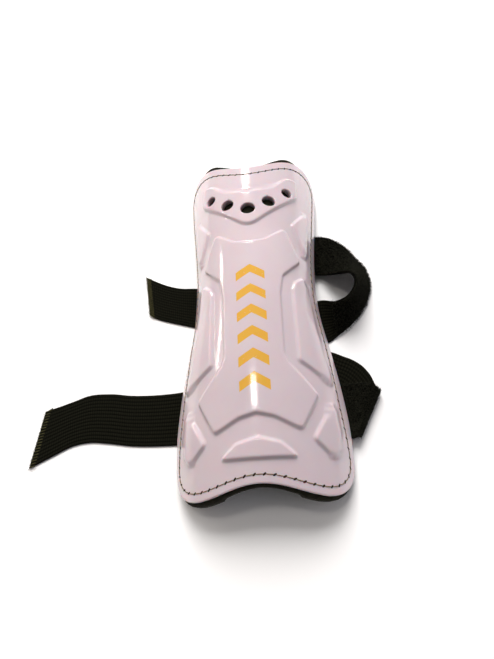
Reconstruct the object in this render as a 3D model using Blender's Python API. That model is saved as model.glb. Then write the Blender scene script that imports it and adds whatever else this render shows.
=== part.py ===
"""Soccer shin guard: an arched hard shell on a foam pad, with two elastic straps that lie on the ground.

The guard rests arch up. X runs across it, +Y points to its narrow, vented end, +Z is up.
Metres throughout. The origin is the middle of the base of the whole assembly's box.
"""

import math

import bmesh
import bpy
import numpy as np
from mathutils import Vector
from mathutils.geometry import delaunay_2d_cdt

# Guard, overall
guard_length = 0.2093
widest_half_width = 0.0459
crown_height = 0.0403
waist_rim_height = 0.0115

# Shell
shell_thickness = 0.0018
relief_height = 0.0016
bevel_outside = 0.0006
bevel_inside = 0.0013
corner_radius = 0.0022
vent_diameters = (0.0084, 0.0078, 0.0068)

# End outlines: two rounded horns with a dip between them
narrow_horn_across = 0.0365
narrow_dip = 0.0115
narrow_corner_run = 0.0175
wide_horn_across = 0.0336
wide_dip = 0.0052
wide_corner_run = 0.0195

# Foam pad
foam_thickness = 0.0048
foam_overhang = 0.0018

# Straps and hook tabs
strap_width = 0.0298
strap_thickness = 0.0015
upper_strap_along = 0.0432
lower_strap_along = -0.0591
sewn_length = 0.018
tab_length = 0.030
tab_width = 0.020
tab_thickness = 0.0014
tab_edge_inset = 0.0045

# Fits and mesh spacing
gap = 0.0003
facet_sag = 0.0004
rim_turn = 0.0004
grid_across = 0.0066
grid_along = 0.0105
ring_clearance = 0.0018
longest_edge = 0.0075
bluntest_corner = math.radians(150)
side_share = 0.4
weld_distance = 1e-7
normal_step = 0.0001
least_spread = 0.6
smooth_angle = math.radians(32)
end_segments = 14
corner_segments = 6
vent_sides = 14
rows_per_span = 4
tab_steps_across = 4
tab_steps_along = 3

# A strap's way round the pad's rim, from its sewn end: shares of the foam's thickness and of the turn
inner_corner_inset = 1 / 3
outer_corner_out = 0.75
outer_corner_down = 0.6
edge_rise = 0.6

half_length = guard_length / 2

# Cross-sections, from the wide end to the narrow end.
# along: share of the half length. half_width: share of the widest half width.
# crown: share of the crown height. rim: share of the rim height at the waist.
SECTION_COLUMNS = ("along", "half_width", "crown", "rim")
SECTIONS = (
    (-1.00, 0.990, 0.688, 0.375),
    (-0.85, 1.000, 0.762, 0.375),
    (-0.68, 1.000, 0.829, 0.580),
    (-0.50, 0.962, 0.888, 0.710),
    (-0.25, 0.879, 0.950, 0.830),
    (-0.05, 0.801, 0.981, 0.960),
    (0.14, 0.780, 0.998, 1.000),
    (0.32, 0.799, 1.000, 0.880),
    (0.50, 0.837, 0.990, 0.670),
    (0.70, 0.883, 0.962, 0.460),
    (0.85, 0.910, 0.933, 0.320),
    (1.00, 0.920, 0.893, 0.320),
)

# Raised panels, right half of each, drawn flat.
# across: share of the half width measured round the arch. along: share of the half length.
CENTRE_PANELS = {
    "vent_panel": ((0.0, 0.700), (0.28, 0.755), (0.45, 0.822), (0.567, 0.824), (0.574, 0.675), (0.0, 0.395)),
    "long_panel": (
        (0.0, 0.301), (0.17, 0.318), (0.395, 0.407), (0.615, 0.206), (0.369, 0.085), (0.325, -0.02),
        (0.297, -0.355), (0.330, -0.400), (0.596, -0.547), (0.392, -0.722), (0.305, -0.705),
        (0.15, -0.665), (0.0, -0.646),
    ),
    "crescent": ((0.0, -0.746), (0.20, -0.772), (0.368, -0.845), (0.0, -0.848)),
}
SIDE_PANELS = {
    "upper_kite": ((0.700, 0.615), (0.478, 0.451), (0.690, 0.242), (0.755, 0.300), (0.765, 0.560)),
    "side_panel": (
        (0.658, 0.125), (0.503, 0.067), (0.458, 0.018), (0.417, -0.386), (0.821, -0.497),
        (0.790, -0.380), (0.745, -0.200), (0.735, 0.020),
    ),
    "lower_kite": ((0.743, -0.562), (0.479, -0.755), (0.706, -0.846), (0.800, -0.790), (0.825, -0.700),
                   (0.800, -0.610)),
}

# Vent holes, right half: across and along as for the panels, widest hole first.
VENTS = ((0.0, 0.535), (0.221, 0.588), (0.425, 0.682))

# Strap edges, in strap widths. x is measured outwards from the rim beside the strap, y from the strap's
# own place along the guard, and z from the ground; a strap that lies down has z = 0.
# Columns: outer x, outer y, outer z, inner x, inner y, inner z.
UPPER_LOOP = (
    (0.06, 0.52, 0.13, 0.05, -0.48, 0.13),
    (0.36, 0.33, 0.26, 0.26, -0.65, 0.36),
    (0.64, 0.09, 0.23, 0.47, -0.81, 0.61),
    (0.83, -0.18, 0.16, 0.60, -0.93, 0.78),
    (1.00, -0.43, 0.10, 0.65, -1.03, 0.82),
    (1.05, -0.66, 0.04, 0.66, -1.14, 0.83),
    (1.03, -0.87, 0.03, 0.63, -1.26, 0.84),
    (0.91, -1.19, 0.03, 0.58, -1.34, 0.81),
    (0.61, -1.60, 0.03, 0.46, -1.40, 0.70),
    (0.29, -1.87, 0.03, 0.27, -1.32, 0.45),
    (0.08, -2.00, 0.00, 0.08, -1.07, 0.10),
    (-0.19, -2.02, 0.00, -0.19, -1.04, 0.00),
)
UPPER_TAIL = (
    (-0.60, -1.55, 0.0, -0.60, -0.57, 0.0),
    (0.07, -1.40, 0.0, 0.13, -0.44, 0.0),
    (0.29, -1.33, 0.0, 0.33, -0.42, 0.0),
    (0.62, -1.22, 0.0, 0.58, -0.35, 0.0),
    (0.85, -1.13, 0.0, 0.84, -0.23, 0.0),
    (1.02, -1.02, 0.0, 1.16, -0.04, 0.0),
)
LOWER_LOOP = (
    (0.02, 0.50, 0.135, 0.03, -0.50, 0.10),
    (0.23, 0.47, 0.23, 0.07, -0.51, 0.145),
    (0.44, 0.44, 0.265, 0.12, -0.51, 0.177),
    (0.57, 0.40, 0.23, 0.15, -0.49, 0.174),
    (0.63, 0.36, 0.13, 0.17, -0.47, 0.110),
    (0.60, 0.48, 0.00, 0.11, -0.41, 0.00),
    (0.50, 0.77, 0.00, -0.11, -0.03, 0.00),
    (0.39, 0.92, 0.00, -0.21, 0.11, 0.00),
    (0.24, 1.04, 0.00, -0.26, 0.18, 0.00),
    (0.07, 1.13, 0.00, -0.31, 0.21, 0.00),
    (-0.08, 1.21, 0.00, -0.35, 0.24, 0.00),
    (-0.42, 1.29, 0.00, -0.52, 0.29, 0.00),
)
LOWER_TAIL = (
    (-0.13, 0.64, 0.0, -0.06, -0.40, 0.0),
    (0.28, 0.61, 0.0, 0.32, -0.40, 0.0),
    (0.99, 0.63, 0.0, 0.97, -0.36, 0.0),
    (1.46, 0.70, 0.0, 1.45, -0.28, 0.0),
    (1.87, 0.70, 0.0, 1.79, -0.25, 0.0),
    (2.19, 0.60, 0.0, 2.10, -0.30, 0.0),
    (2.48, 0.51, 0.0, 2.45, -0.46, 0.0),
    (2.73, 0.44, 0.0, 2.87, -0.66, 0.0),
)


def material(name, colour, roughness):
    """A plain Principled finish."""
    made = bpy.data.materials.new(name)
    made.use_nodes = True
    shader = made.node_tree.nodes["Principled BSDF"]
    shader.inputs["Base Color"].default_value = (*colour, 1.0)
    shader.inputs["Roughness"].default_value = roughness
    shader.inputs["Metallic"].default_value = 0.0
    return made


def section_value(along, column):
    """One column of SECTIONS at a share of the half length, by a smooth cubic through the rows."""
    rows = np.array(SECTIONS)
    stations, values = rows[:, 0], rows[:, SECTION_COLUMNS.index(column)]
    slopes = np.gradient(values, stations)
    along = np.clip(along, stations[0], stations[-1])
    low = np.clip(np.searchsorted(stations, along) - 1, 0, len(stations) - 2)
    span = stations[low + 1] - stations[low]
    s = (along - stations[low]) / span
    start = (1 + 2 * s) * (1 - s) ** 2 * values[low] + s * (1 - s) ** 2 * span * slopes[low]
    end = s * s * (3 - 2 * s) * values[low + 1] - s * s * (1 - s) * span * slopes[low + 1]
    return start + end


def arch(y):
    """Radius and centre height of the circular section at y, and its half width round the arc."""
    along = np.asarray(y, dtype=float) / half_length
    half_width = widest_half_width * section_value(along, "half_width")
    crown = crown_height * section_value(along, "crown")
    rim = waist_rim_height * section_value(along, "rim")
    rise = crown - rim
    radius = (half_width**2 + rise**2) / (2 * rise)
    centre = crown - radius
    return radius, centre, radius * np.arccos((rim - centre) / radius)


def half_arc(y):
    """Half width of the shell at y, measured round the arch."""
    return arch(y)[2]


def arch_point(across, y):
    """Point of the shell's outer surface at a distance round the arch from its crown line."""
    radius, centre, _ = arch(y)
    angle = across / radius
    return np.stack([radius * np.sin(angle), y, centre + radius * np.cos(angle)], axis=-1)


def lifted_point(across, y, lift):
    """Point at a height above the shell's outer surface, along its normal."""
    across, y, lift = np.broadcast_arrays(*(np.asarray(v, dtype=float) for v in (across, y, lift)))
    round_arch = arch_point(across + normal_step, y) - arch_point(across - normal_step, y)
    down_guard = arch_point(across, y + normal_step) - arch_point(across, y - normal_step)
    normal = np.cross(round_arch, down_guard)
    normal /= np.linalg.norm(normal, axis=-1, keepdims=True)
    return arch_point(across, y) + normal * lift[..., None]


def half_end(horn_across, dip, corner_run, overhang):
    """Right half of an end's flat outline at the end +half_length: the corner, then the dip to the middle."""
    horn = half_length + overhang
    corner_y = half_length - corner_run
    turn = np.linspace(0, math.pi / 2, corner_segments + 1)
    return horn, corner_y, turn, np.linspace(horn_across, 0, end_segments // 2 + 1)[1:]


def flat_outline(overhang):
    """Flat outline of the shell or of the pad, counterclockwise, as pairs of across and y."""
    right = []
    for sign, horn_across, dip, corner_run in (
        (-1, wide_horn_across, wide_dip, wide_corner_run),
        (1, narrow_horn_across, narrow_dip, narrow_corner_run),
    ):
        horn, corner_y, turn, dip_across = half_end(horn_across, dip, corner_run, overhang)
        reach = half_arc(sign * corner_y) + overhang
        corner = [
            (horn_across + (reach - horn_across) * math.cos(a), sign * (corner_y + (horn - corner_y) * math.sin(a)))
            for a in turn
        ]
        depth = dip * (0.5 + 0.5 * np.cos(math.pi * dip_across / horn_across))
        end = corner + [(u, sign * (horn - d)) for u, d in zip(dip_across, depth)]
        if sign < 0:
            right = end[::-1]
            side_start = -corner_y
        else:
            count = max(2, round((corner_y - side_start) / grid_along))
            side = np.linspace(side_start, corner_y, count + 1)[1:-1]
            right += [(float(half_arc(y)) + overhang, float(y)) for y in side] + end
    left = [(-u, y) for u, y in right[::-1] if u > weld_distance]
    return np.array(right + left)


def rounded(corners, radius):
    """A closed polygon with each clear corner replaced by a fillet of three points."""
    points = np.asarray(corners)
    out = []
    for before, here, after in zip(np.roll(points, 1, axis=0), points, np.roll(points, -1, axis=0)):
        to_before, to_after = before - here, after - here
        shorter = min(np.linalg.norm(to_before), np.linalg.norm(to_after))
        to_before /= np.linalg.norm(to_before)
        to_after /= np.linalg.norm(to_after)
        corner = math.acos(float(np.clip(to_before @ to_after, -1, 1)))
        if corner > bluntest_corner:
            out.append(here)
            continue
        back = min(radius / math.tan(corner / 2), side_share * shorter)
        start = here + to_before * back
        end = here + to_after * back
        out += [start, (start + 2 * here + end) / 4, end]
    return np.array(out)


def divided(ring):
    """A closed ring with its long edges cut into equal shorter ones, so that they follow the arch."""
    out = []
    for here, after in zip(ring, np.roll(ring, -1, axis=0)):
        count = max(1, math.ceil(np.linalg.norm(after - here) / longest_edge))
        out += [here + (after - here) * k / count for k in range(count)]
    return np.array(out)


def offset_ring(ring, distance):
    """A counterclockwise ring moved outwards by a distance along its corners' normals."""
    before, after = ring - np.roll(ring, 1, axis=0), np.roll(ring, -1, axis=0) - ring
    before /= np.linalg.norm(before, axis=1, keepdims=True)
    after /= np.linalg.norm(after, axis=1, keepdims=True)
    normal = np.stack([before[:, 1] + after[:, 1], -before[:, 0] - after[:, 0]], axis=1)
    normal /= np.linalg.norm(normal, axis=1, keepdims=True)
    spread = normal[:, 0] * after[:, 1] - normal[:, 1] * after[:, 0]
    return ring + normal * (distance / np.maximum(spread, least_spread))[:, None]


def panel_outlines():
    """Every raised panel's flat outline, counterclockwise and with rounded corners."""
    outlines = []
    for shape in CENTRE_PANELS.values():
        outlines.append(list(shape) + [(-s, t) for s, t in shape[::-1] if s > 0])
    for shape in SIDE_PANELS.values():
        outlines.append(list(shape))
        outlines.append([(-s, t) for s, t in shape])
    rings = []
    for outline in outlines:
        flat = np.array([(s * float(half_arc(t * half_length)), t * half_length) for s, t in outline])
        area = np.sum(flat[:, 0] * np.roll(flat[:, 1], -1) - np.roll(flat[:, 0], -1) * flat[:, 1])
        rings.append(divided(rounded(flat if area > 0 else flat[::-1], corner_radius)))
    return rings


def vent_rings():
    """The vent holes' flat outlines."""
    angles = np.arange(vent_sides) * 2 * math.pi / vent_sides
    circle = np.stack([np.cos(angles), np.sin(angles)], axis=1)
    rings = []
    for (s, t), diameter in zip(VENTS, vent_diameters):
        y = t * half_length
        centre = np.array([s * float(half_arc(y)), y])
        rings.append(centre + circle * diameter / 2)
        if s > 0:
            rings.append(centre * (-1, 1) + circle * diameter / 2)
    return rings


def inside(points, ring):
    """Which points lie inside a closed ring."""
    x, y = points[:, 0, None], points[:, 1, None]
    x0, y0 = ring[:, 0], ring[:, 1]
    x1, y1 = np.roll(x0, -1), np.roll(y0, -1)
    crosses = (y0 > y) != (y1 > y)
    rise = np.where(y1 == y0, 1.0, y1 - y0)
    return np.sum(crosses & (x < x0 + (y - y0) * (x1 - x0) / rise), axis=1) % 2 == 1


def ring_distance(points, ring):
    """Each point's distance to a closed ring."""
    start, run = ring, np.roll(ring, -1, axis=0) - ring
    share = np.einsum("pij,ij->pi", points[:, None] - start, run) / np.sum(run**2, axis=1)
    nearest = start + np.clip(share, 0, 1)[..., None] * run
    return np.linalg.norm(points[:, None] - nearest, axis=2).min(axis=1)


def grid_points():
    """Points on a regular flat grid, symmetric about the crown line."""
    reach = widest_half_width * 2
    across = np.arange(-round(reach / grid_across), round(reach / grid_across) + 1) * grid_across
    along = np.linspace(-half_length, half_length, round(guard_length / grid_along) + 1)
    return np.stack(np.meshgrid(across, along), axis=-1).reshape(-1, 2)


def flat_triangles(rings, fill):
    """Triangulate a flat drawing so that every ring is a chain of edges; the first ring is its outline."""
    points, edges = [], []
    for ring in rings:
        first = len(points)
        points += [tuple(p) for p in ring]
        edges += [(first + i, first + (i + 1) % len(ring)) for i in range(len(ring))]
    points += [tuple(p) for p in fill]
    found = delaunay_2d_cdt([Vector(p) for p in points], edges, [], 0, weld_distance, True)
    flat = np.array([tuple(v) for v in found[0]])
    source = [ids[0] if ids else -1 for ids in found[3]]
    triangles = np.array([tuple(face) for face in found[2]])
    return flat, source, triangles[inside(flat[triangles].mean(axis=1), rings[0])]


def sheet_object(name, flat, triangles, top_lift, bottom_lift, finish):
    """A closed sheet: the flat triangles on the arch at two heights, with walls round every edge."""
    used, renumbered = np.unique(triangles, return_inverse=True)
    triangles = renumbered.reshape(triangles.shape)
    flat, top_lift, bottom_lift = flat[used], top_lift[used], bottom_lift[used]
    top = lifted_point(flat[:, 0], flat[:, 1], top_lift)
    bottom = lifted_point(flat[:, 0], flat[:, 1], bottom_lift)
    count = len(flat)
    sides = {(int(a), int(b)) for tri in triangles for a, b in zip(tri, np.roll(tri, -1))}
    walls = [(a, a + count, b + count, b) for a, b in sorted(sides) if (b, a) not in sides]
    faces = [tuple(map(int, tri)) for tri in triangles]
    faces += [tuple(int(i) + count for i in tri[::-1]) for tri in triangles]
    vertices = np.concatenate([top, bottom])
    vertices[:, 2] = np.maximum(vertices[:, 2], 0.0)
    return mesh_object(name, vertices, faces + walls, finish)


def mesh_object(name, vertices, faces, finish):
    """A named object from vertices and faces, in triangles and smooth where it is round."""
    mesh = bpy.data.meshes.new(name)
    mesh.from_pydata([tuple(map(float, v)) for v in vertices], [], faces)
    shaped = bmesh.new()
    shaped.from_mesh(mesh)
    bmesh.ops.triangulate(shaped, faces=shaped.faces[:])
    shaped.to_mesh(mesh)
    shaped.free()
    mesh.shade_smooth()
    mesh.set_sharp_from_angle(angle=smooth_angle)
    mesh.materials.append(finish)
    made = bpy.data.objects.new(name, mesh)
    bpy.context.scene.collection.objects.link(made)
    return made


def make_plate():
    """The shell and the pad under it, cut from one flat drawing so that their facets match.

    The shell has a flat back, raised panels, and vent holes that go right through. The pad has the shell's
    outline and its overhang, and no holes.
    """
    outline = flat_outline(0.0)
    vents = vent_rings()
    panels = panel_outlines()
    feet = [offset_ring(ring, bevel_outside) for ring in panels]
    tops = [offset_ring(ring, -bevel_inside) for ring in panels]
    fill = grid_points()
    fill = fill[inside(fill, outline) & (ring_distance(fill, outline) > ring_clearance)]
    for ring in vents + feet + tops:
        fill = fill[ring_distance(fill, ring) > ring_clearance]
    raised = np.zeros(len(fill), dtype=bool)
    for top in tops:
        raised |= inside(fill, top)
    pad_outline = flat_outline(foam_overhang)
    lifts = [0.0] * (len(pad_outline) + len(outline))
    lifts += [relief_height] * sum(len(ring) for ring in vents)
    lifts += [0.0] * sum(len(ring) for ring in feet)
    lifts += [relief_height] * sum(len(ring) for ring in tops)
    lifts = np.array(lifts + list(np.where(raised, relief_height, 0.0)))
    flat, source, triangles = flat_triangles([pad_outline, outline, *vents, *feet, *tops], fill)

    centres = flat[triangles].mean(axis=1)
    covered = inside(centres, outline)
    for vent in vents:
        covered &= ~inside(centres, vent)
    level = np.ones(len(flat))
    plastic = material("white_gloss_plastic", (0.84, 0.79, 0.81), 0.12)
    shell = sheet_object("shell", flat, triangles[covered], lifts[source], -shell_thickness * level, plastic)
    pad_top = -(shell_thickness + gap) * level
    foam = material("black_foam", (0.02, 0.02, 0.02), 0.9)
    pad = sheet_object("foam_pad", flat, triangles, pad_top, pad_top - foam_thickness, foam)
    return [shell, pad]


def pad_back_lift(thickness):
    """Height of the middle of a layer against the pad's inner face, clear of the sag of its facets."""
    return -(shell_thickness + gap + foam_thickness + facet_sag + gap + thickness / 2)


def strap_rows(along, loop, tail):
    """A strap's rows of outer and inner edge points, from its sewn end to its free end."""
    rows = []
    edge_ys = [along + strap_width / 2, along - strap_width / 2]
    back = pad_back_lift(strap_thickness)
    turn = gap + strap_thickness / 2 + rim_turn
    sewn = [(-sewn_length, back), (-sewn_length / 2, back), (-foam_thickness * inner_corner_inset, back)]
    corner = (turn * outer_corner_out, back - turn * outer_corner_down + strap_thickness / 2)
    rim = [corner, (turn, back + foam_thickness * edge_rise)]
    for inset, lift in sewn + rim:
        row = [lifted_point(half_arc(y) + foam_overhang + inset, y, lift) for y in edge_ys]
        rows.append(row)
    rim_x = float(arch_point(half_arc(along), np.array(along))[0])
    for sign, table in ((1, loop), (-1, tail)):
        for outer_x, outer_y, outer_z, inner_x, inner_y, inner_z in table:
            row = []
            for x, y, z in ((outer_x, outer_y, outer_z), (inner_x, inner_y, inner_z)):
                height = max(z * strap_width, strap_thickness / 2)
                row.append(np.array([sign * (rim_x + x * strap_width), along + y * strap_width, height]))
            rows.append(row)
    return np.array(rows)


def smooth_rows(rows):
    """More rows between the given ones, on a cubic through them that doesn't overshoot short spans."""
    knots = np.concatenate([[0], np.cumsum(np.linalg.norm(np.diff(rows.mean(axis=1), axis=0), axis=1))])
    slopes = np.gradient(rows, knots, axis=0)
    out = []
    for i in range(len(rows) - 1):
        span = knots[i + 1] - knots[i]
        for s in np.arange(rows_per_span) / rows_per_span:
            start = (1 + 2 * s) * (1 - s) ** 2 * rows[i] + s * (1 - s) ** 2 * span * slopes[i]
            end = s * s * (3 - 2 * s) * rows[i + 1] - s * s * (1 - s) * span * slopes[i + 1]
            out.append(start + end)
    return np.array(out + [rows[-1]])


def make_strap(name, along, loop, tail):
    """A flat elastic band: its rows joined into a ribbon with two faces, two edges and two ends."""
    rows = smooth_rows(strap_rows(along, loop, tail))
    rows[..., 2] = np.maximum(rows[..., 2], strap_thickness / 2)
    width = rows[:, 0] - rows[:, 1]
    course = np.gradient(rows.mean(axis=1), axis=0)
    normal = np.cross(course, width)
    normal /= np.linalg.norm(normal, axis=1, keepdims=True)
    half = normal[:, None] * strap_thickness / 2
    corners = np.concatenate([rows + half, (rows - half)[:, ::-1]], axis=1)
    corners[..., 2] = np.maximum(corners[..., 2], 0.0)
    count = len(rows)
    faces = [(3, 2, 1, 0), tuple(4 * (count - 1) + k for k in (0, 1, 2, 3))]
    for i in range(count - 1):
        here, after = 4 * i, 4 * (i + 1)
        for k in range(4):
            nxt = (k + 1) % 4
            faces.append((here + k, here + nxt, after + nxt, after + k))
    finish = material(name + "_elastic", (0.02, 0.02, 0.02), 0.95)
    return mesh_object(name, corners.reshape(-1, 3), faces, finish)


def make_hook_tab(name, along):
    """A plain hook patch on the pad's inner face, just inside its left edge, level with a strap."""
    finish = material(name + "_hook", (0.025, 0.025, 0.025), 0.9)
    ys = along + np.linspace(-tab_length / 2, tab_length / 2, tab_steps_along + 1)
    inset = tab_edge_inset + np.linspace(0, tab_width, tab_steps_across + 1)
    y, inset = np.meshgrid(ys, inset, indexing="ij")
    across = -(half_arc(y) - inset)
    flat = np.stack([across, y], axis=-1).reshape(-1, 2)
    wide = tab_steps_across + 1
    triangles = []
    for i in range(tab_steps_along):
        for j in range(tab_steps_across):
            a, b, c, d = i * wide + j, i * wide + j + 1, (i + 1) * wide + j + 1, (i + 1) * wide + j
            triangles += [(a, b, c), (a, c, d)]
    middle = pad_back_lift(tab_thickness)
    top = np.full(len(flat), middle + tab_thickness / 2)
    bottom = np.full(len(flat), middle - tab_thickness / 2)
    return sheet_object(name, flat, np.array(triangles), top, bottom, finish)


def centre_on_base(parts):
    """Move every mesh so that the origin is the middle of the base of the assembly's box."""
    corners = np.array([v.co for part in parts for v in part.data.vertices])
    low, high = corners.min(axis=0), corners.max(axis=0)
    shift = -np.array([(low[0] + high[0]) / 2, (low[1] + high[1]) / 2, low[2]])
    for part in parts:
        for vertex in part.data.vertices:
            vertex.co += Vector(shift)


def main():
    """Clear the scene and build the guard."""
    for old in list(bpy.data.objects):
        bpy.data.objects.remove(old, do_unlink=True)
    parts = [
        *make_plate(),
        make_strap("upper_strap", upper_strap_along, UPPER_LOOP, UPPER_TAIL),
        make_strap("lower_strap", lower_strap_along, LOWER_LOOP, LOWER_TAIL),
        make_hook_tab("upper_hook_tab", upper_strap_along),
        make_hook_tab("lower_hook_tab", lower_strap_along),
    ]
    centre_on_base(parts)


main()
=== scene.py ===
"""Soccer shin guard: its looks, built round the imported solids.

The guard rests arch up. X runs across it, +Y points to its narrow, vented end and +Z is up. Metres.

Everything on the guard is placed by a flat drawing: a point's distance round the arch from the crown line
(across), its distance from the middle (along), and its height above the shell's plain outer face (lift).
Every row of the drawing is carried onto a circular arch whose width, crown and rim change along the guard.
"""

from __future__ import annotations

import logging
import math
from collections.abc import Sequence
from dataclasses import dataclass
from enum import Enum

import bpy
import numpy as np
from mathutils import Matrix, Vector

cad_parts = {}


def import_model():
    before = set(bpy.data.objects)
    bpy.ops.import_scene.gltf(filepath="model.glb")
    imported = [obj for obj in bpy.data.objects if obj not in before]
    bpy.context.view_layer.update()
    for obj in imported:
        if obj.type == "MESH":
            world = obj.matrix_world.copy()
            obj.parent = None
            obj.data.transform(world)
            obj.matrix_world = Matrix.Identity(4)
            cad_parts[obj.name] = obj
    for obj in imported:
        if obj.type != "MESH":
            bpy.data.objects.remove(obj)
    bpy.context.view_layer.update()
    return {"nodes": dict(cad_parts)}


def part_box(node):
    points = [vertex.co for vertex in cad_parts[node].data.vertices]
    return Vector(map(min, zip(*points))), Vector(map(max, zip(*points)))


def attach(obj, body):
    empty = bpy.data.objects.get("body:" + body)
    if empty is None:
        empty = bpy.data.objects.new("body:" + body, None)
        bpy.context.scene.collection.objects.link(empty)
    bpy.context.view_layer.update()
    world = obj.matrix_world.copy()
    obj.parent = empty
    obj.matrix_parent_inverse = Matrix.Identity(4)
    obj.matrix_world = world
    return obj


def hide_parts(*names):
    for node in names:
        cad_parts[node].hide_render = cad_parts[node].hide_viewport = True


MM = 0.001
BODY = "root"
LOG = logging.getLogger("shin_guard")
Array = np.ndarray
Colour = tuple[float, float, float]
Socket = bpy.types.NodeSocket

# Sizes that several pieces share.
SHELL_THICKNESS = 1.8 * MM
PAD_THICKNESS = 4.8 * MM
PAD_OVERHANG = 1.8 * MM
FACET_SAG = 0.4 * MM
GAP = 0.3 * MM
PAD_BACK = SHELL_THICKNESS + GAP + PAD_THICKNESS + FACET_SAG
UPPER_ALONG = 43.2 * MM
LOWER_ALONG = -59.1 * MM

# Cross-sections, from the wide end to the narrow end.
# along: share of the half length. half_width: share of the widest half width.
# crown: share of the crown height. rim: share of the rim height at the waist.
SECTION_COLUMNS = ("along", "half_width", "crown", "rim")
SECTIONS = (
    (-1.00, 0.990, 0.688, 0.375),
    (-0.85, 1.000, 0.762, 0.375),
    (-0.68, 1.000, 0.829, 0.580),
    (-0.50, 0.962, 0.888, 0.710),
    (-0.25, 0.879, 0.950, 0.830),
    (-0.05, 0.801, 0.981, 0.960),
    (0.14, 0.780, 0.998, 1.000),
    (0.32, 0.799, 1.000, 0.880),
    (0.50, 0.837, 0.990, 0.670),
    (0.70, 0.883, 0.962, 0.460),
    (0.85, 0.910, 0.933, 0.320),
    (1.00, 0.920, 0.893, 0.320),
)

# Raised panels, right half of each, drawn flat.
# across: share of the half width measured round the arch. along: share of the half length.
CENTRE_PANELS = {
    "vent_panel": ((0.0, 0.700), (0.28, 0.755), (0.45, 0.822), (0.567, 0.824), (0.574, 0.675), (0.0, 0.395)),
    "long_panel": (
        (0.0, 0.301), (0.17, 0.318), (0.395, 0.407), (0.615, 0.206), (0.369, 0.085), (0.325, -0.02),
        (0.297, -0.355), (0.330, -0.400), (0.596, -0.547), (0.392, -0.722), (0.305, -0.705),
        (0.15, -0.665), (0.0, -0.646),
    ),
    "crescent": ((0.0, -0.746), (0.20, -0.772), (0.368, -0.845), (0.0, -0.848)),
}
SIDE_PANELS = {
    "upper_kite": ((0.700, 0.615), (0.478, 0.451), (0.690, 0.242), (0.755, 0.300), (0.765, 0.560)),
    "side_panel": (
        (0.658, 0.125), (0.503, 0.067), (0.458, 0.018), (0.417, -0.386), (0.821, -0.497),
        (0.790, -0.380), (0.745, -0.200), (0.735, 0.020),
    ),
    "lower_kite": (
        (0.743, -0.562), (0.479, -0.755), (0.706, -0.846), (0.800, -0.790), (0.825, -0.700), (0.800, -0.610),
    ),
}

# Strap edges, in strap widths. x is measured outwards from the rim beside the strap, y from the strap's own
# place along the guard, and z from the ground; a strap that lies down has z = 0.
# Columns: outer x, outer y, outer z, inner x, inner y, inner z.
UPPER_LOOP = (
    (0.06, 0.52, 0.13, 0.05, -0.48, 0.13),
    (0.36, 0.33, 0.26, 0.26, -0.65, 0.36),
    (0.64, 0.09, 0.23, 0.47, -0.81, 0.61),
    (0.83, -0.18, 0.16, 0.60, -0.93, 0.78),
    (1.00, -0.43, 0.10, 0.65, -1.03, 0.82),
    (1.05, -0.66, 0.04, 0.66, -1.14, 0.83),
    (1.03, -0.87, 0.03, 0.63, -1.26, 0.84),
    (0.91, -1.19, 0.03, 0.58, -1.34, 0.81),
    (0.61, -1.60, 0.03, 0.46, -1.40, 0.70),
    (0.29, -1.87, 0.03, 0.27, -1.32, 0.45),
    (0.08, -2.00, 0.00, 0.08, -1.07, 0.10),
    (-0.19, -2.02, 0.00, -0.19, -1.04, 0.00),
)
UPPER_TAIL = (
    (-0.60, -1.55, 0.0, -0.60, -0.57, 0.0),
    (0.07, -1.40, 0.0, 0.13, -0.44, 0.0),
    (0.29, -1.33, 0.0, 0.33, -0.42, 0.0),
    (0.62, -1.22, 0.0, 0.58, -0.35, 0.0),
    (0.85, -1.13, 0.0, 0.84, -0.23, 0.0),
    (1.02, -1.02, 0.0, 1.16, -0.04, 0.0),
)
LOWER_LOOP = (
    (0.02, 0.50, 0.135, 0.03, -0.50, 0.10),
    (0.23, 0.47, 0.23, 0.07, -0.51, 0.145),
    (0.44, 0.44, 0.265, 0.12, -0.51, 0.177),
    (0.57, 0.40, 0.23, 0.15, -0.49, 0.174),
    (0.63, 0.36, 0.13, 0.17, -0.47, 0.110),
    (0.60, 0.48, 0.00, 0.11, -0.41, 0.00),
    (0.50, 0.77, 0.00, -0.11, -0.03, 0.00),
    (0.39, 0.92, 0.00, -0.21, 0.11, 0.00),
    (0.24, 1.04, 0.00, -0.26, 0.18, 0.00),
    (0.07, 1.13, 0.00, -0.31, 0.21, 0.00),
    (-0.08, 1.21, 0.00, -0.35, 0.24, 0.00),
    (-0.42, 1.29, 0.00, -0.52, 0.29, 0.00),
)
LOWER_TAIL = (
    (-0.13, 0.64, 0.0, -0.06, -0.40, 0.0),
    (0.28, 0.61, 0.0, 0.32, -0.40, 0.0),
    (0.99, 0.63, 0.0, 0.97, -0.36, 0.0),
    (1.46, 0.70, 0.0, 1.45, -0.28, 0.0),
    (1.87, 0.70, 0.0, 1.79, -0.25, 0.0),
    (2.19, 0.60, 0.0, 2.10, -0.30, 0.0),
    (2.48, 0.51, 0.0, 2.45, -0.46, 0.0),
    (2.73, 0.44, 0.0, 2.87, -0.66, 0.0),
)


class Facing(Enum):
    """Which way a flat patch of the drawing faces."""

    OUT = 1
    IN = -1


def smoothstep(value: Array) -> Array:
    """0 below 0, 1 above 1, and three times the square less twice the cube between."""
    clipped = np.clip(value, 0.0, 1.0)
    return clipped * clipped * (3 - 2 * clipped)


def unit(vectors: Array, tiny: float = 1e-12) -> Array:
    """The vectors, each divided by its length."""
    return vectors / np.maximum(np.linalg.norm(vectors, axis=-1, keepdims=True), tiny)


def distance_run(points: Array) -> Array:
    """Distance from the first point to each point, measured along the line through them."""
    return np.concatenate([[0], np.cumsum(np.linalg.norm(np.diff(points, axis=0), axis=1))])


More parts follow.
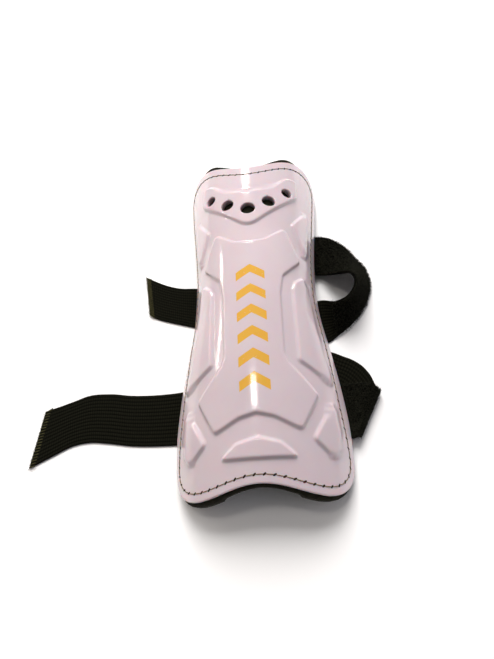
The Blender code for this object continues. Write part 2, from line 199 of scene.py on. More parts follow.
def interpolated(at: Array, run: Array, vectors: Array) -> Array:
    """Vectors of a line at distances along it, straight between its points."""
    return np.stack([np.interp(at, run, vectors[:, k]) for k in range(vectors.shape[1])], axis=-1)


def cubic(share: Array, span: Array, values: Array, slopes: Array, low: Array) -> Array:
    """The cubic from row low to the next that has both rows' values and slopes at its ends.

    Args:
        share: Place between the two rows, from 0 to 1.
        span: Distance between the two rows.
        values: Every row's value.
        slopes: Every row's slope.
        low: Index of the row before each place.

    Returns:
        One value for each place.
    """
    back = 1 - share
    start = (1 + 2 * share) * back**2 * values[low] + share * back**2 * span * slopes[low]
    end = share**2 * (3 - 2 * share) * values[low + 1] - share**2 * back * span * slopes[low + 1]
    return start + end


def strand_quads(index: Array) -> Array:
    """The quads that join each ring of a strand to the next; index is strands by rings by places."""
    after = np.roll(index, -1, axis=2)
    return np.stack([index[:, :-1], after[:, :-1], after[:, 1:], index[:, 1:]], axis=-1).reshape(-1, 4)


def ripple(flat: Array, wavelength: float, seed: int, waves: int = 9) -> Array:
    """A smooth uneven field of about -1 to 1: twice the mean of sine waves in random directions.

    Args:
        flat: Points in two or more dimensions.
        wavelength: Mean distance from crest to crest.
        seed: Seed of the random directions and phases.
        waves: Number of waves.

    Returns:
        One value for each point.
    """
    shortest, longest, gain = 0.6, 1.6, 2.0
    random = np.random.default_rng(seed)
    directions = unit(random.normal(size=(waves, flat.shape[-1])))
    rates = 2 * math.pi / (wavelength * random.uniform(shortest, longest, waves))
    phases = random.uniform(0, 2 * math.pi, waves)
    return np.sin(flat @ (directions * rates[:, None]).T + phases).mean(axis=-1) * gain


class Patchwork:
    """Patches of one surface, welded where their edges meet."""

    def __init__(self) -> None:
        """Start with no patches."""
        self.points: list[Array] = []
        self.notes: list[Array] = []
        self.faces: list[Array] = []
        self.count = 0

    def add(self, points: Array, notes: Array, faces: Sequence[Array]) -> None:
        """Add points with their notes, and faces that count from the first of these points."""
        self.points.append(points.reshape(-1, 3))
        self.notes.append(notes.reshape(-1, 3))
        self.faces += [np.asarray(group) + self.count for group in faces]
        self.count += len(self.points[-1])

    def add_grid(self, points: Array, notes: Array, facing: Facing, keep: Array | None = None) -> None:
        """Add a grid of points, rows by columns, as quads.

        Args:
            points: Points, rows by columns by 3.
            notes: A note of 3 numbers for each point.
            facing: OUT where columns, rows and the outward side are a right-handed set.
            keep: Which cells are kept, rows less one by columns less one.
        """
        rows, columns = points.shape[:2]
        index = np.arange(rows * columns).reshape(rows, columns)
        quads = np.stack([index[:-1, :-1], index[:-1, 1:], index[1:, 1:], index[1:, :-1]], axis=-1)
        quads = quads.reshape(-1, 4) if keep is None else quads[keep]
        self.add(points, notes, [quads if facing is Facing.OUT else quads[:, ::-1]])

    def add_rings(self, points: Array, notes: Array, facing: Facing, ends: Sequence[Array] = ()) -> None:
        """Add closed rings, one after another, joined by quads.

        Args:
            points: Points, rings by places by 3.
            notes: A note of 3 numbers for each point.
            facing: OUT where the next ring, the next place and the outward side are a right-handed set.
            ends: More faces, such as caps, that count from the first of these points.
        """
        rings, places = points.shape[:2]
        index = np.arange(rings * places).reshape(rings, places)
        after = np.roll(index, -1, axis=1)
        quads = np.stack([index[:-1], index[1:], after[1:], after[:-1]], axis=-1).reshape(-1, 4)
        self.add(points, notes, [quads if facing is Facing.OUT else quads[:, ::-1], *ends])

    def to_object(self, name: str, note_name: str, weld: float = 0.001 * MM) -> bpy.types.Object:
        """Make the object: points that fall in the same cell of a fine grid become one.

        Args:
            name: The object's name.
            note_name: The name of the point attribute that holds the notes.
            weld: Size of the grid's cells.

        Returns:
            The new object, smooth shaded.
        """
        points, notes = np.concatenate(self.points), np.concatenate(self.notes)
        cells = np.round(points / weld).astype(np.int64)
        _, first, inverse = np.unique(cells, axis=0, return_index=True, return_inverse=True)
        inverse = inverse.reshape(-1)
        points, notes = points[first], notes[first]
        faces = [inverse[group] for group in self.faces]
        loops = np.concatenate([group.reshape(-1) for group in faces]).astype(np.int32)
        totals = np.concatenate([np.full(len(group), group.shape[1]) for group in faces]).astype(np.int32)
        starts = (np.cumsum(totals) - totals).astype(np.int32)
        mesh = bpy.data.meshes.new(name)
        mesh.vertices.add(len(points))
        mesh.vertices.foreach_set("co", points.astype(np.float32).ravel())
        mesh.loops.add(len(loops))
        mesh.loops.foreach_set("vertex_index", loops)
        mesh.polygons.add(len(starts))
        mesh.polygons.foreach_set("loop_start", starts)
        mesh.polygons.foreach_set("loop_total", totals)
        mesh.update(calc_edges=True)
        attribute = mesh.attributes.new(note_name, "FLOAT_VECTOR", "POINT")
        attribute.data.foreach_set("vector", notes.astype(np.float32).ravel())
        mesh.validate()
        mesh.shade_smooth()
        made = bpy.data.objects.new(name, mesh)
        bpy.context.scene.collection.objects.link(made)
        return made


def add_strands(patches: Patchwork, paths: Array, radii: Array, up: Array, sides: int) -> None:
    """Add round strands: a circle carried along each path, closed by a flat face at each end.

    Args:
        patches: Where the strands go.
        paths: Points, strands by places by 3.
        radii: Radius at each place, strands by places.
        up: A direction that no strand follows, one for each strand.
        sides: Sides of the circle.
    """
    strands, places = paths.shape[:2]
    course = unit(np.gradient(paths, axis=1))
    side = unit(np.cross(course, up[:, None]))
    rise = np.cross(course, side)
    angle = np.arange(sides) * 2 * math.pi / sides
    circle = side[:, :, None] * np.cos(angle)[:, None] + rise[:, :, None] * np.sin(angle)[:, None]
    points = paths[:, :, None] + circle * radii[..., None, None]
    index = np.arange(strands * places * sides).reshape(strands, places, sides)
    notes = np.zeros_like(points)
    notes[..., 0] = np.arange(strands)[:, None, None]
    notes[..., 1] = np.linspace(0, 1, places)[:, None]
    patches.add(points, notes, [strand_quads(index), index[:, 0, ::-1], index[:, -1]])


@dataclass(frozen=True)
class EndShape:
    """One end of the guard, seen flat: two rounded horns with a dip between them."""

    side: int
    horn_across: float
    dip: float
    corner_run: float

    def dip_at(self, share: Array) -> Array:
        """Depth of the dip at a share of the way from the middle to a horn: a cosine that ends in 0."""
        return self.dip * (0.5 + 0.5 * np.cos(math.pi * share))


@dataclass(frozen=True)
class GuardForm:
    """The arch that the flat drawing is carried onto, and the drawing's outline."""

    axis_x: float
    half_length: float
    widest_half_width: float = 45.9 * MM
    crown_height: float = 40.3 * MM
    waist_rim_height: float = 11.5 * MM
    narrow_end: EndShape = EndShape(1, 36.5 * MM, 11.5 * MM, 17.5 * MM)
    wide_end: EndShape = EndShape(-1, 33.6 * MM, 5.2 * MM, 19.5 * MM)
    horn_column: float = 0.8
    normal_step: float = 0.1 * MM

    @classmethod
    def from_frame(cls) -> GuardForm:
        """The form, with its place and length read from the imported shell."""
        low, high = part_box("shell")
        return cls(axis_x=(low.x + high.x) / 2, half_length=(high.y - low.y) / 2)

    def section(self, along: Array, column: str) -> Array:
        """One column of SECTIONS at a share of the half length: a cubic between rows, with mean slopes."""
        rows = np.array(SECTIONS)
        stations, values = rows[:, 0], rows[:, SECTION_COLUMNS.index(column)]
        slopes = np.gradient(values, stations)
        along = np.clip(along, stations[0], stations[-1])
        low = np.clip(np.searchsorted(stations, along) - 1, 0, len(stations) - 2)
        span = stations[low + 1] - stations[low]
        return cubic((along - stations[low]) / span, span, values, slopes, low)

    def arch(self, along: Array) -> tuple[Array, Array, Array]:
        """The circle through both rims and the crown: its radius, its centre's height and its half arc."""
        share = np.asarray(along, dtype=float) / self.half_length
        half_width = self.widest_half_width * self.section(share, "half_width")
        crown = self.crown_height * self.section(share, "crown")
        rim = self.waist_rim_height * self.section(share, "rim")
        rise = crown - rim
        radius = (half_width**2 + rise**2) / (2 * rise)
        centre = crown - radius
        return radius, centre, radius * np.arccos((rim - centre) / radius)

    def half_arc(self, along: Array) -> Array:
        """Half width of the shell, measured round the arch."""
        return self.arch(along)[2]

    def surface(self, across: Array, along: Array) -> Array:
        """A point on the arch: the angle is the distance across over the radius."""
        radius, centre, _ = self.arch(along)
        angle = across / radius
        x = self.axis_x + radius * np.sin(angle)
        return np.stack([x, along, centre + radius * np.cos(angle)], axis=-1)

    def normal(self, flat: Array) -> Array:
        """The outward direction, from the cross product of small steps across and along."""
        across, along, step = flat[..., 0], flat[..., 1], self.normal_step
        round_arch = self.surface(across + step, along) - self.surface(across - step, along)
        down_guard = self.surface(across, along + step) - self.surface(across, along - step)
        return unit(np.cross(round_arch, down_guard))

    def lifted(self, flat: Array, lift: Array | float) -> Array:
        """Points at a height above the arch along its normal, and never below the ground.

        Args:
            flat: Across and along, in the last axis.
            lift: Height above the shell's plain outer face.

        Returns:
            Points in the frame.
        """
        lift = np.broadcast_to(np.asarray(lift, dtype=float), flat.shape[:-1])
        points = self.surface(flat[..., 0], flat[..., 1]) + self.normal(flat) * lift[..., None]
        points[..., 2] = np.maximum(points[..., 2], 0.0)
        return points

    def end_line(self, end: EndShape, column: Array, overhang: float) -> tuple[Array, Array]:
        """An end's outline: a cosine dip between the horns, then a quarter ellipse to the side.

        Args:
            end: The end.
            column: From -1 at the left side to 1 at the right.
            overhang: Distance that the outline stands out past the shell's.

        Returns:
            Across and along for every column.
        """
        size = np.abs(column)
        horn = self.half_length + overhang
        corner_along = self.half_length - end.corner_run
        reach = self.half_arc(end.side * corner_along) + overhang
        dip_share = np.clip(size / self.horn_column, 0, 1)
        turn = np.clip((size - self.horn_column) / (1 - self.horn_column), 0, 1) * math.pi / 2
        across = end.horn_across * dip_share + (reach - end.horn_across) * np.sin(turn)
        along = horn - end.dip_at(dip_share) - (horn - corner_along) * (1 - np.cos(turn))
        return np.sign(column) * across, end.side * along

    def sheet(self, rows: int, columns: int, overhang: float) -> Array:
        """A grid over the whole drawing: each column runs from its place on one end to the other's.

        Args:
            rows: Rows, from the wide end to the narrow end.
            columns: Columns, from left to right.
            overhang: Distance that the outline stands out past the shell's.

        Returns:
            Across and along, rows by columns by 2.
        """
        column = np.linspace(-1, 1, columns)
        share = np.linspace(0, 1, rows)[:, None]
        wide_across, wide_along = self.end_line(self.wide_end, column, overhang)
        narrow_across, narrow_along = self.end_line(self.narrow_end, column, overhang)
        wide_share = wide_across / (self.half_arc(wide_along) + overhang)
        narrow_share = narrow_across / (self.half_arc(narrow_along) + overhang)
        along = wide_along + (narrow_along - wide_along) * share
        across = (wide_share + (narrow_share - wide_share) * share) * (self.half_arc(along) + overhang)
        return np.stack([across, along], axis=-1)


def border(grid: Array) -> Array:
    """The closed border of a grid, counterclockwise from its first corner."""
    return np.concatenate([grid[0, :-1], grid[:-1, -1], grid[-1, :0:-1], grid[:0:-1, 0]])


def signed_distance(points: Array, ring: Array) -> Array:
    """Each point's distance to a closed ring, positive inside it and negative outside.

    Args:
        points: Points by 2.
        ring: The ring's corners by 2.

    Returns:
        One distance for each point.
    """
    run = np.roll(ring, -1, axis=0) - ring
    share = np.einsum("pij,ij->pi", points[:, None] - ring, run) / np.sum(run**2, axis=1)
    nearest = ring + np.clip(share, 0, 1)[..., None] * run
    distance = np.linalg.norm(points[:, None] - nearest, axis=2).min(axis=1)
    x, y = points[:, 0, None], points[:, 1, None]
    crosses = (ring[:, 1] > y) != (ring[:, 1] + run[:, 1] > y)
    slope = run[:, 0] / np.where(run[:, 1] == 0, 1.0, run[:, 1])
    hits = np.sum(crosses & (x < ring[:, 0] + (y - ring[:, 1]) * slope), axis=1)
    return np.where(hits % 2 == 1, distance, -distance)


@dataclass(frozen=True)
class PanelStyle:
    """How a panel's outline is rounded, and where its bevel grows wide and faint near the crown line."""

    corner_radius: float = 3.0 * MM
    fades_from: float = 1.0
    fade_reach: float = 0.0


@dataclass(frozen=True)
class Relief:
    """The raised panels of the shell, with soft bevels."""

    form: GuardForm
    height: float = 1.5 * MM
    bevel_outside: float = 0.5 * MM
    bevel_inside: float = 1.3 * MM
    fade_run: float = 0.12
    fade_side_run: float = 16.0 * MM
    faded_bevel: float = 9.0 * MM
    plain: PanelStyle = PanelStyle()
    vent_style: PanelStyle = PanelStyle(9.0 * MM, 0.60, 9.0 * MM)
    corner_points: int = 9
    bluntest_corner: float = math.radians(172)
    side_share: float = 0.42

    def outlines(self) -> list[tuple[Array, PanelStyle]]:
        """Every panel's outline in the drawing, with rounded corners, and its style."""
        styles = {"vent_panel": self.vent_style}
        shapes = []
        for name, shape in CENTRE_PANELS.items():
            mirrored = [(-s, t) for s, t in shape[::-1] if s > 0]
            shapes.append((list(shape) + mirrored, styles.get(name, self.plain)))
        for shape in SIDE_PANELS.values():
            shapes.append((list(shape), self.plain))
            shapes.append(([(-s, t) for s, t in shape], self.plain))
        rings = []
        for shape, style in shapes:
            share = np.array(shape)
            along = share[:, 1] * self.form.half_length
            corners = np.stack([share[:, 0] * self.form.half_arc(along), along], axis=1)
            rings.append((self.rounded(corners, style.corner_radius), style))
        return rings

    def rounded(self, corners: Array, radius: float) -> Array:
        """A closed polygon whose corners are replaced by parabolas that touch both sides."""
        out = []
        neighbours = np.roll(corners, 1, axis=0), corners, np.roll(corners, -1, axis=0)
        for before, here, after in zip(*neighbours):
            shorter = min(np.linalg.norm(before - here), np.linalg.norm(after - here))
            to_before, to_after = unit(before - here), unit(after - here)
            corner = math.acos(float(np.clip(to_before @ to_after, -1, 1)))
            if corner > self.bluntest_corner:
                out.append(here[None])
                continue
            back = min(radius / math.tan(corner / 2), self.side_share * shorter)
            t = np.linspace(0, 1, self.corner_points)[:, None]
            start, end = here + to_before * back, here + to_after * back
            out.append((1 - t) ** 2 * start + 2 * t * (1 - t) * here + t**2 * end)
        return np.concatenate(out)

    def lift(self, flat: Array) -> Array:
        """Height of the outer face above the plain arch: a smooth step across each panel's outline."""
        points = flat.reshape(-1, 2)
        lift = np.zeros(len(points))
        for ring, style in self.outlines():
            low, high = ring.min(axis=0) - self.bevel_outside, ring.max(axis=0) + self.bevel_outside
            near = np.all((points > low) & (points < high), axis=1)
            across, share = np.abs(points[near, 0]), points[near, 1] / self.form.half_length
            fade = smoothstep((share - style.fades_from) / self.fade_run)
            fade *= 1 - smoothstep((across - style.fade_reach) / self.fade_side_run)
            width = self.bevel_outside + self.bevel_inside + (self.faded_bevel - self.bevel_inside) * fade
            step = smoothstep((signed_distance(points[near], ring) + self.bevel_outside) / width)
            lift[near] = np.maximum(lift[near], self.height * step)
        return lift.reshape(flat.shape[:-1])


@dataclass(frozen=True)
class Vent:
    """A round hole through the shell, placed by shares of the half arc and the half length."""

    across: float
    along: float
    diameter: float

    def centre(self, form: GuardForm) -> Array:
        """The hole's middle in the drawing."""
        along = self.along * form.half_length
        return np.array([self.across * float(form.half_arc(along)), along])


@dataclass(frozen=True)
class Plate:
    """A closed plate that follows the arch, with rounded edges all round."""

    form: GuardForm
    name: str
    overhang: float
    top_lift: float
    thickness: float
    top_radius: float
    back_radius: float
    rows: int
    columns: int
    round_steps: int = 5
    collar_rings: int = 4

    def rim_profile(self) -> list[tuple[float, float]]:
        """Overhang and lift of each ring from the outer face to the back: two quarter circles."""
        turns = np.linspace(0, math.pi / 2, self.round_steps + 1)
        top = [(self.top_radius * (1 - math.sin(a)), self.top_radius * (1 - math.cos(a))) for a in turns]
        back = [(self.back_radius * (1 - math.cos(a)), self.back_radius * (1 - math.sin(a))) for a in turns]
        top = [(self.overhang - inset, self.top_lift - drop) for inset, drop in top]
        back = [(self.overhang - inset, self.top_lift - self.thickness + rise) for inset, rise in back]
        return top + back

    def top_height(self, flat: Array) -> Array:
        """Lift of the outer face."""
        return np.full(flat.shape[:-1], self.top_lift)

    def back_height(self, flat: Array) -> Array:
        """Lift of the back."""
        return np.full(flat.shape[:-1], self.top_lift - self.thickness)

    def placed(self, flat: Array, lift: Array) -> tuple[Array, Array]:
        """Points on the arch, and their notes: across, along and lift."""
        return self.form.lifted(flat, lift), np.concatenate([flat, lift[..., None]], axis=-1)

    def patches(self, vents: Sequence[Vent] = (), lip: float = 0.0, margin: float = 0.0) -> Patchwork:
        """The outer face, the back, the rim round both, and a collar round each hole.

        Args:
            vents: Holes that go right through.
            lip: Radius of the hole's rounded edge.
            margin: Width of the collar that joins the hole to the grid.

        Returns:
            The patches.
        """
        made = Patchwork()
        top = self.form.sheet(self.rows, self.columns, self.overhang - self.top_radius)
        back = self.form.sheet(self.rows, self.columns, self.overhang - self.back_radius)
        keep = np.ones((self.rows - 1, self.columns - 1), dtype=bool)
        for vent in vents:
            low_row, high_row, low_column, high_column = self.window(top, vent, margin)
            keep[low_row:high_row, low_column:high_column] = False
            block = slice(low_row, high_row + 1), slice(low_column, high_column + 1)
            self.add_collar(made, vent, lip, border(top[block]), border(back[block]))
        made.add_grid(*self.placed(top, self.top_height(top)), Facing.OUT, keep)
        made.add_grid(*self.placed(back, self.back_height(back)), Facing.IN, keep)
        rings = []
        profile = self.rim_profile()
        for place, (overhang, lift) in enumerate(profile):
            ring = border(self.form.sheet(self.rows, self.columns, overhang))
            level = np.full(len(ring), lift)
            if place == 0:
                level = self.top_height(ring)
            if place == len(profile) - 1:
                level = self.back_height(ring)
            rings.append(self.placed(ring, level))
        made.add_rings(np.stack([r[0] for r in rings]), np.stack([r[1] for r in rings]), Facing.OUT)
        return made

    def window(self, flat: Array, vent: Vent, margin: float) -> tuple[int, int, int, int]:
        """The rows and columns just outside a hole and its collar.

        Args:
            flat: The outer face's grid in the drawing.
            vent: The hole.
            margin: Width of the collar.

        Returns:
            First row, last row, first column and last column.
        """
        centre = vent.centre(self.form)
        reach = vent.diameter / 2 + margin
        nearest = np.linalg.norm(flat - centre, axis=-1)
        row, column = np.unravel_index(np.argmin(nearest), nearest.shape)
        along, across = flat[:, column, 1], flat[row, :, 0]
        low_row = int(np.searchsorted(along, centre[1] - reach)) - 1
        high_row = int(np.searchsorted(along, centre[1] + reach))
        low_column = int(np.searchsorted(across, centre[0] - reach)) - 1
        high_column = int(np.searchsorted(across, centre[0] + reach))
        return low_row, high_row, low_column, high_column

    def add_collar(self, made: Patchwork, vent: Vent, lip: float, top_edge: Array, back_edge: Array) -> None:
        """Join a square of the grid to a round hole: rings from the square to the circle, down and back out.

        Args:
            made: Where the rings go.
            vent: The hole.
            lip: Radius of the hole's rounded edge.
            top_edge: The square's border on the outer face, in the drawing.
            back_edge: The square's border on the back.
        """
        centre = vent.centre(self.form)
        outward = unit(top_edge - centre)
        circle = centre + outward * vent.diameter / 2
        lip_circle = centre + outward * (vent.diameter / 2 + lip)
        flats, lifts = [], []
        for share in np.linspace(0, 1, self.collar_rings):
            flats.append(top_edge + (lip_circle - top_edge) * share)
            lifts.append(self.top_height(flats[-1]))
        for turn in np.linspace(0, math.pi / 2, self.round_steps)[1:]:
            flats.append(circle + outward * lip * (1 - math.sin(turn)))
            lifts.append(self.top_height(lip_circle) - lip * (1 - math.cos(turn)))
        for share in np.linspace(0, 1, self.collar_rings):
            flats.append(circle + (back_edge - circle) * share)
            lifts.append(self.back_height(flats[-1]))
        points, notes = self.placed(np.stack(flats), np.stack(lifts))
        made.add_rings(points, notes, Facing.IN)


@dataclass(frozen=True)
class HardShell(Plate):
    """The glossy plate: raised panels outside, a plain back and five vent holes."""

    name: str = "shell_plate"
    overhang: float = 0.0
    top_lift: float = 0.0
    thickness: float = SHELL_THICKNESS
    top_radius: float = 0.7 * MM
    back_radius: float = 0.3 * MM
    rows: int = 300
    columns: int = 133
    vents: tuple[Vent, ...] = (
        Vent(0.0, 0.535, 8.4 * MM),
        Vent(0.221, 0.588, 7.8 * MM),
        Vent(-0.221, 0.588, 7.8 * MM),
        Vent(0.425, 0.682, 6.8 * MM),
        Vent(-0.425, 0.682, 6.8 * MM),
    )
    vent_lip: float = 0.55 * MM
    vent_margin: float = 0.75 * MM

    def top_height(self, flat: Array) -> Array:
        """Lift of the outer face: the relief."""
        return Relief(self.form).lift(flat)

    def build(self) -> bpy.types.Object:
        """The shell's mesh."""
        return self.patches(self.vents, self.vent_lip, self.vent_margin).to_object(self.name, "drawing")


@dataclass(frozen=True)
class Seam:
    """The line of stitching that runs round the shell, well inside its edge."""

    form: GuardForm
    narrow_inset: float = 6.6 * MM
    side_inset: float = 7.4 * MM
    wide_inset: float = 4.1 * MM
    pitch: float = 4.8 * MM
    thread_radius: float = 0.24 * MM
    thread_rise: float = 0.16 * MM
    hole_length: float = 2.3 * MM
    hole_width: float = 1.1 * MM
    hole_slant: float = math.radians(38)
    hole_sides: int = 10
    hole_sizes: tuple[float, ...] = (1.0, 0.8, 0.05)
    hole_lifts: tuple[float, ...] = (-0.05 * MM, 0.12 * MM, 0.16 * MM)
    stitch_start: float = 0.10
    stitch_places: int = 7
    stitch_fullness: float = 0.6
    thread_sides: int = 6
    wide_from: float = 0.55
    wide_run: float = 0.35
    narrow_from: float = 0.45
    narrow_run: float = 0.40
    path_rows: int = 120
    path_columns: int = 90

    def path(self) -> Array:
        """The seam's closed line in the drawing: three inset outlines, blended along the guard."""
        rings = [
            border(self.form.sheet(self.path_rows, self.path_columns, -inset))
            for inset in (self.wide_inset, self.side_inset, self.narrow_inset)
        ]
        share = rings[1][:, 1] / self.form.half_length
        to_wide = smoothstep((-share - self.wide_from) / self.wide_run)[:, None]
        to_narrow = smoothstep((share - self.narrow_from) / self.narrow_run)[:, None]
        return rings[1] + (rings[0] - rings[1]) * to_wide + (rings[2] - rings[1]) * to_narrow

    def places(self, offset: float) -> Array:
        """Points at even distances along the seam.

        Args:
            offset: Share of the pitch by which each point is moved on.

        Returns:
            One point in the drawing for each stitch.
        """
        ring = self.path()
        closed = np.concatenate([ring, ring[:1]])
        run = distance_run(closed)
        stitches = round(run[-1] / self.pitch)
        at = (np.arange(stitches) + offset) / stitches * run[-1] % run[-1]
        return interpolated(at, run, closed)

    def build_thread(self, name: str, lift: float, side: Facing) -> bpy.types.Object:
        """The thread: one short strand from hole to hole, a little proud in its middle.

        Args:
            name: The object's name.
            lift: Height of the face that the thread lies on.
            side: OUT on the shell, IN on the pad's lining.

        Returns:
            The thread's mesh.
        """
        offsets = np.linspace(self.stitch_start, 1 - self.stitch_start, self.stitch_places)
        flat = np.stack([self.places(offset) for offset in offsets], axis=1)
        bow = np.sin(np.linspace(0, math.pi, self.stitch_places)) ** self.stitch_fullness
        rise = (bow * (self.thread_rise + self.thread_radius) - self.thread_radius) * side.value
        paths = self.form.lifted(flat, np.broadcast_to(lift + rise, flat.shape[:-1]))
        made = Patchwork()
        radii = np.full(paths.shape[:2], self.thread_radius)
        middle = flat[:, self.stitch_places // 2]
        add_strands(made, paths, radii, self.form.normal(middle), self.thread_sides)
        return made.to_object(name, "strand")

    def build_holes(self, name: str, lift: float) -> bpy.types.Object:
        """The needle holes: slanted dark ovals, each a shallow dome of rings on the face; their dark is the
        thread in the hole with painted shade over it.

        Args:
            name: The object's name.
            lift: Height of the face that the holes are in.

        Returns:
            The holes' mesh.
        """
        centre, nearby = self.places(0.0), 0.2
        course = unit(self.places(nearby) - self.places(-nearby))
        beside = np.stack([-course[:, 1], course[:, 0]], axis=1)
        long_way = course * math.cos(self.hole_slant) + beside * math.sin(self.hole_slant)
        short_way = np.stack([-long_way[:, 1], long_way[:, 0]], axis=1)
        angle = np.arange(self.hole_sides) * 2 * math.pi / self.hole_sides
        oval = (
            long_way[:, None] * (np.cos(angle) * self.hole_length / 2)[:, None]
            + short_way[:, None] * (np.sin(angle) * self.hole_width / 2)[:, None]
        )
        sizes, lifts = np.array(self.hole_sizes), lift + np.array(self.hole_lifts)
        flat = centre[:, None, None] + oval[:, None] * sizes[:, None, None]
        points = self.form.lifted(flat, np.broadcast_to(lifts[:, None], flat.shape[:-1]))
        index = np.arange(points[..., 0].size).reshape(points.shape[:-1])
        made = Patchwork()
        made.add(points, np.zeros_like(points), [strand_quads(index), index[:, 0, ::-1], index[:, -1]])
        return made.to_object(name, "strand")


@dataclass(frozen=True)
class FoamPad(Plate):
    """The soft backing, rounded at its edges and pinched on its lining along the seam."""

    name: str = "foam_backing"
    overhang: float = PAD_OVERHANG
    top_lift: float = -(SHELL_THICKNESS + GAP)
    thickness: float = PAD_THICKNESS
    top_radius: float = 1.0 * MM
    back_radius: float = 1.5 * MM
    rows: int = 220
    columns: int = 101
    pinch_depth: float = 0.9 * MM
    pinch_reach: float = 2.0 * MM
    swell: float = 0.12 * MM
    corner_across: float = 25.0 * MM
    corner_width: float = 13.0 * MM
    corner_out: float = 2.6 * MM
    corner_rise: float = 0.6 * MM
    corner_start: float = 0.6
    swell_wavelength: float = 14.0 * MM
    swell_seed: int = 3

    def placed(self, flat: Array, lift: Array) -> tuple[Array, Array]:
        """Points and notes, with the narrow end's corners drawn out past the shell by a bell curve."""
        end = self.form.narrow_end
        to_horn = np.minimum(np.abs(flat[..., 0]) / end.horn_across, 1.0)
        shell_edge = self.form.half_length - end.dip_at(to_horn)
        past = smoothstep((flat[..., 1] - shell_edge) / (self.corner_start * self.overhang))
        bell = np.exp(-(((np.abs(flat[..., 0]) - self.corner_across) / self.corner_width) ** 2))
        moved = flat.copy()
        moved[..., 1] += self.corner_out * past * bell
        return super().placed(moved, lift + self.corner_rise * past * bell)

    def back_height(self, flat: Array) -> Array:
        """Lift of the lining: flat foam, drawn up along the seam by a bell curve, and slightly uneven."""
        points = flat.reshape(-1, 2)
        path = Seam(self.form).path()[::2]
        distance = np.linalg.norm(points[:, None] - path, axis=2).min(axis=1)
        pinch = self.pinch_depth * np.exp(-((distance / self.pinch_reach) ** 2))
        uneven = self.swell * (ripple(points, self.swell_wavelength, self.swell_seed) + 1) / 2
        return (self.top_lift - self.thickness + pinch + uneven).reshape(flat.shape[:-1])

    def build(self) -> bpy.types.Object:
        """The pad's mesh."""
        return self.patches().to_object(self.name, "drawing")


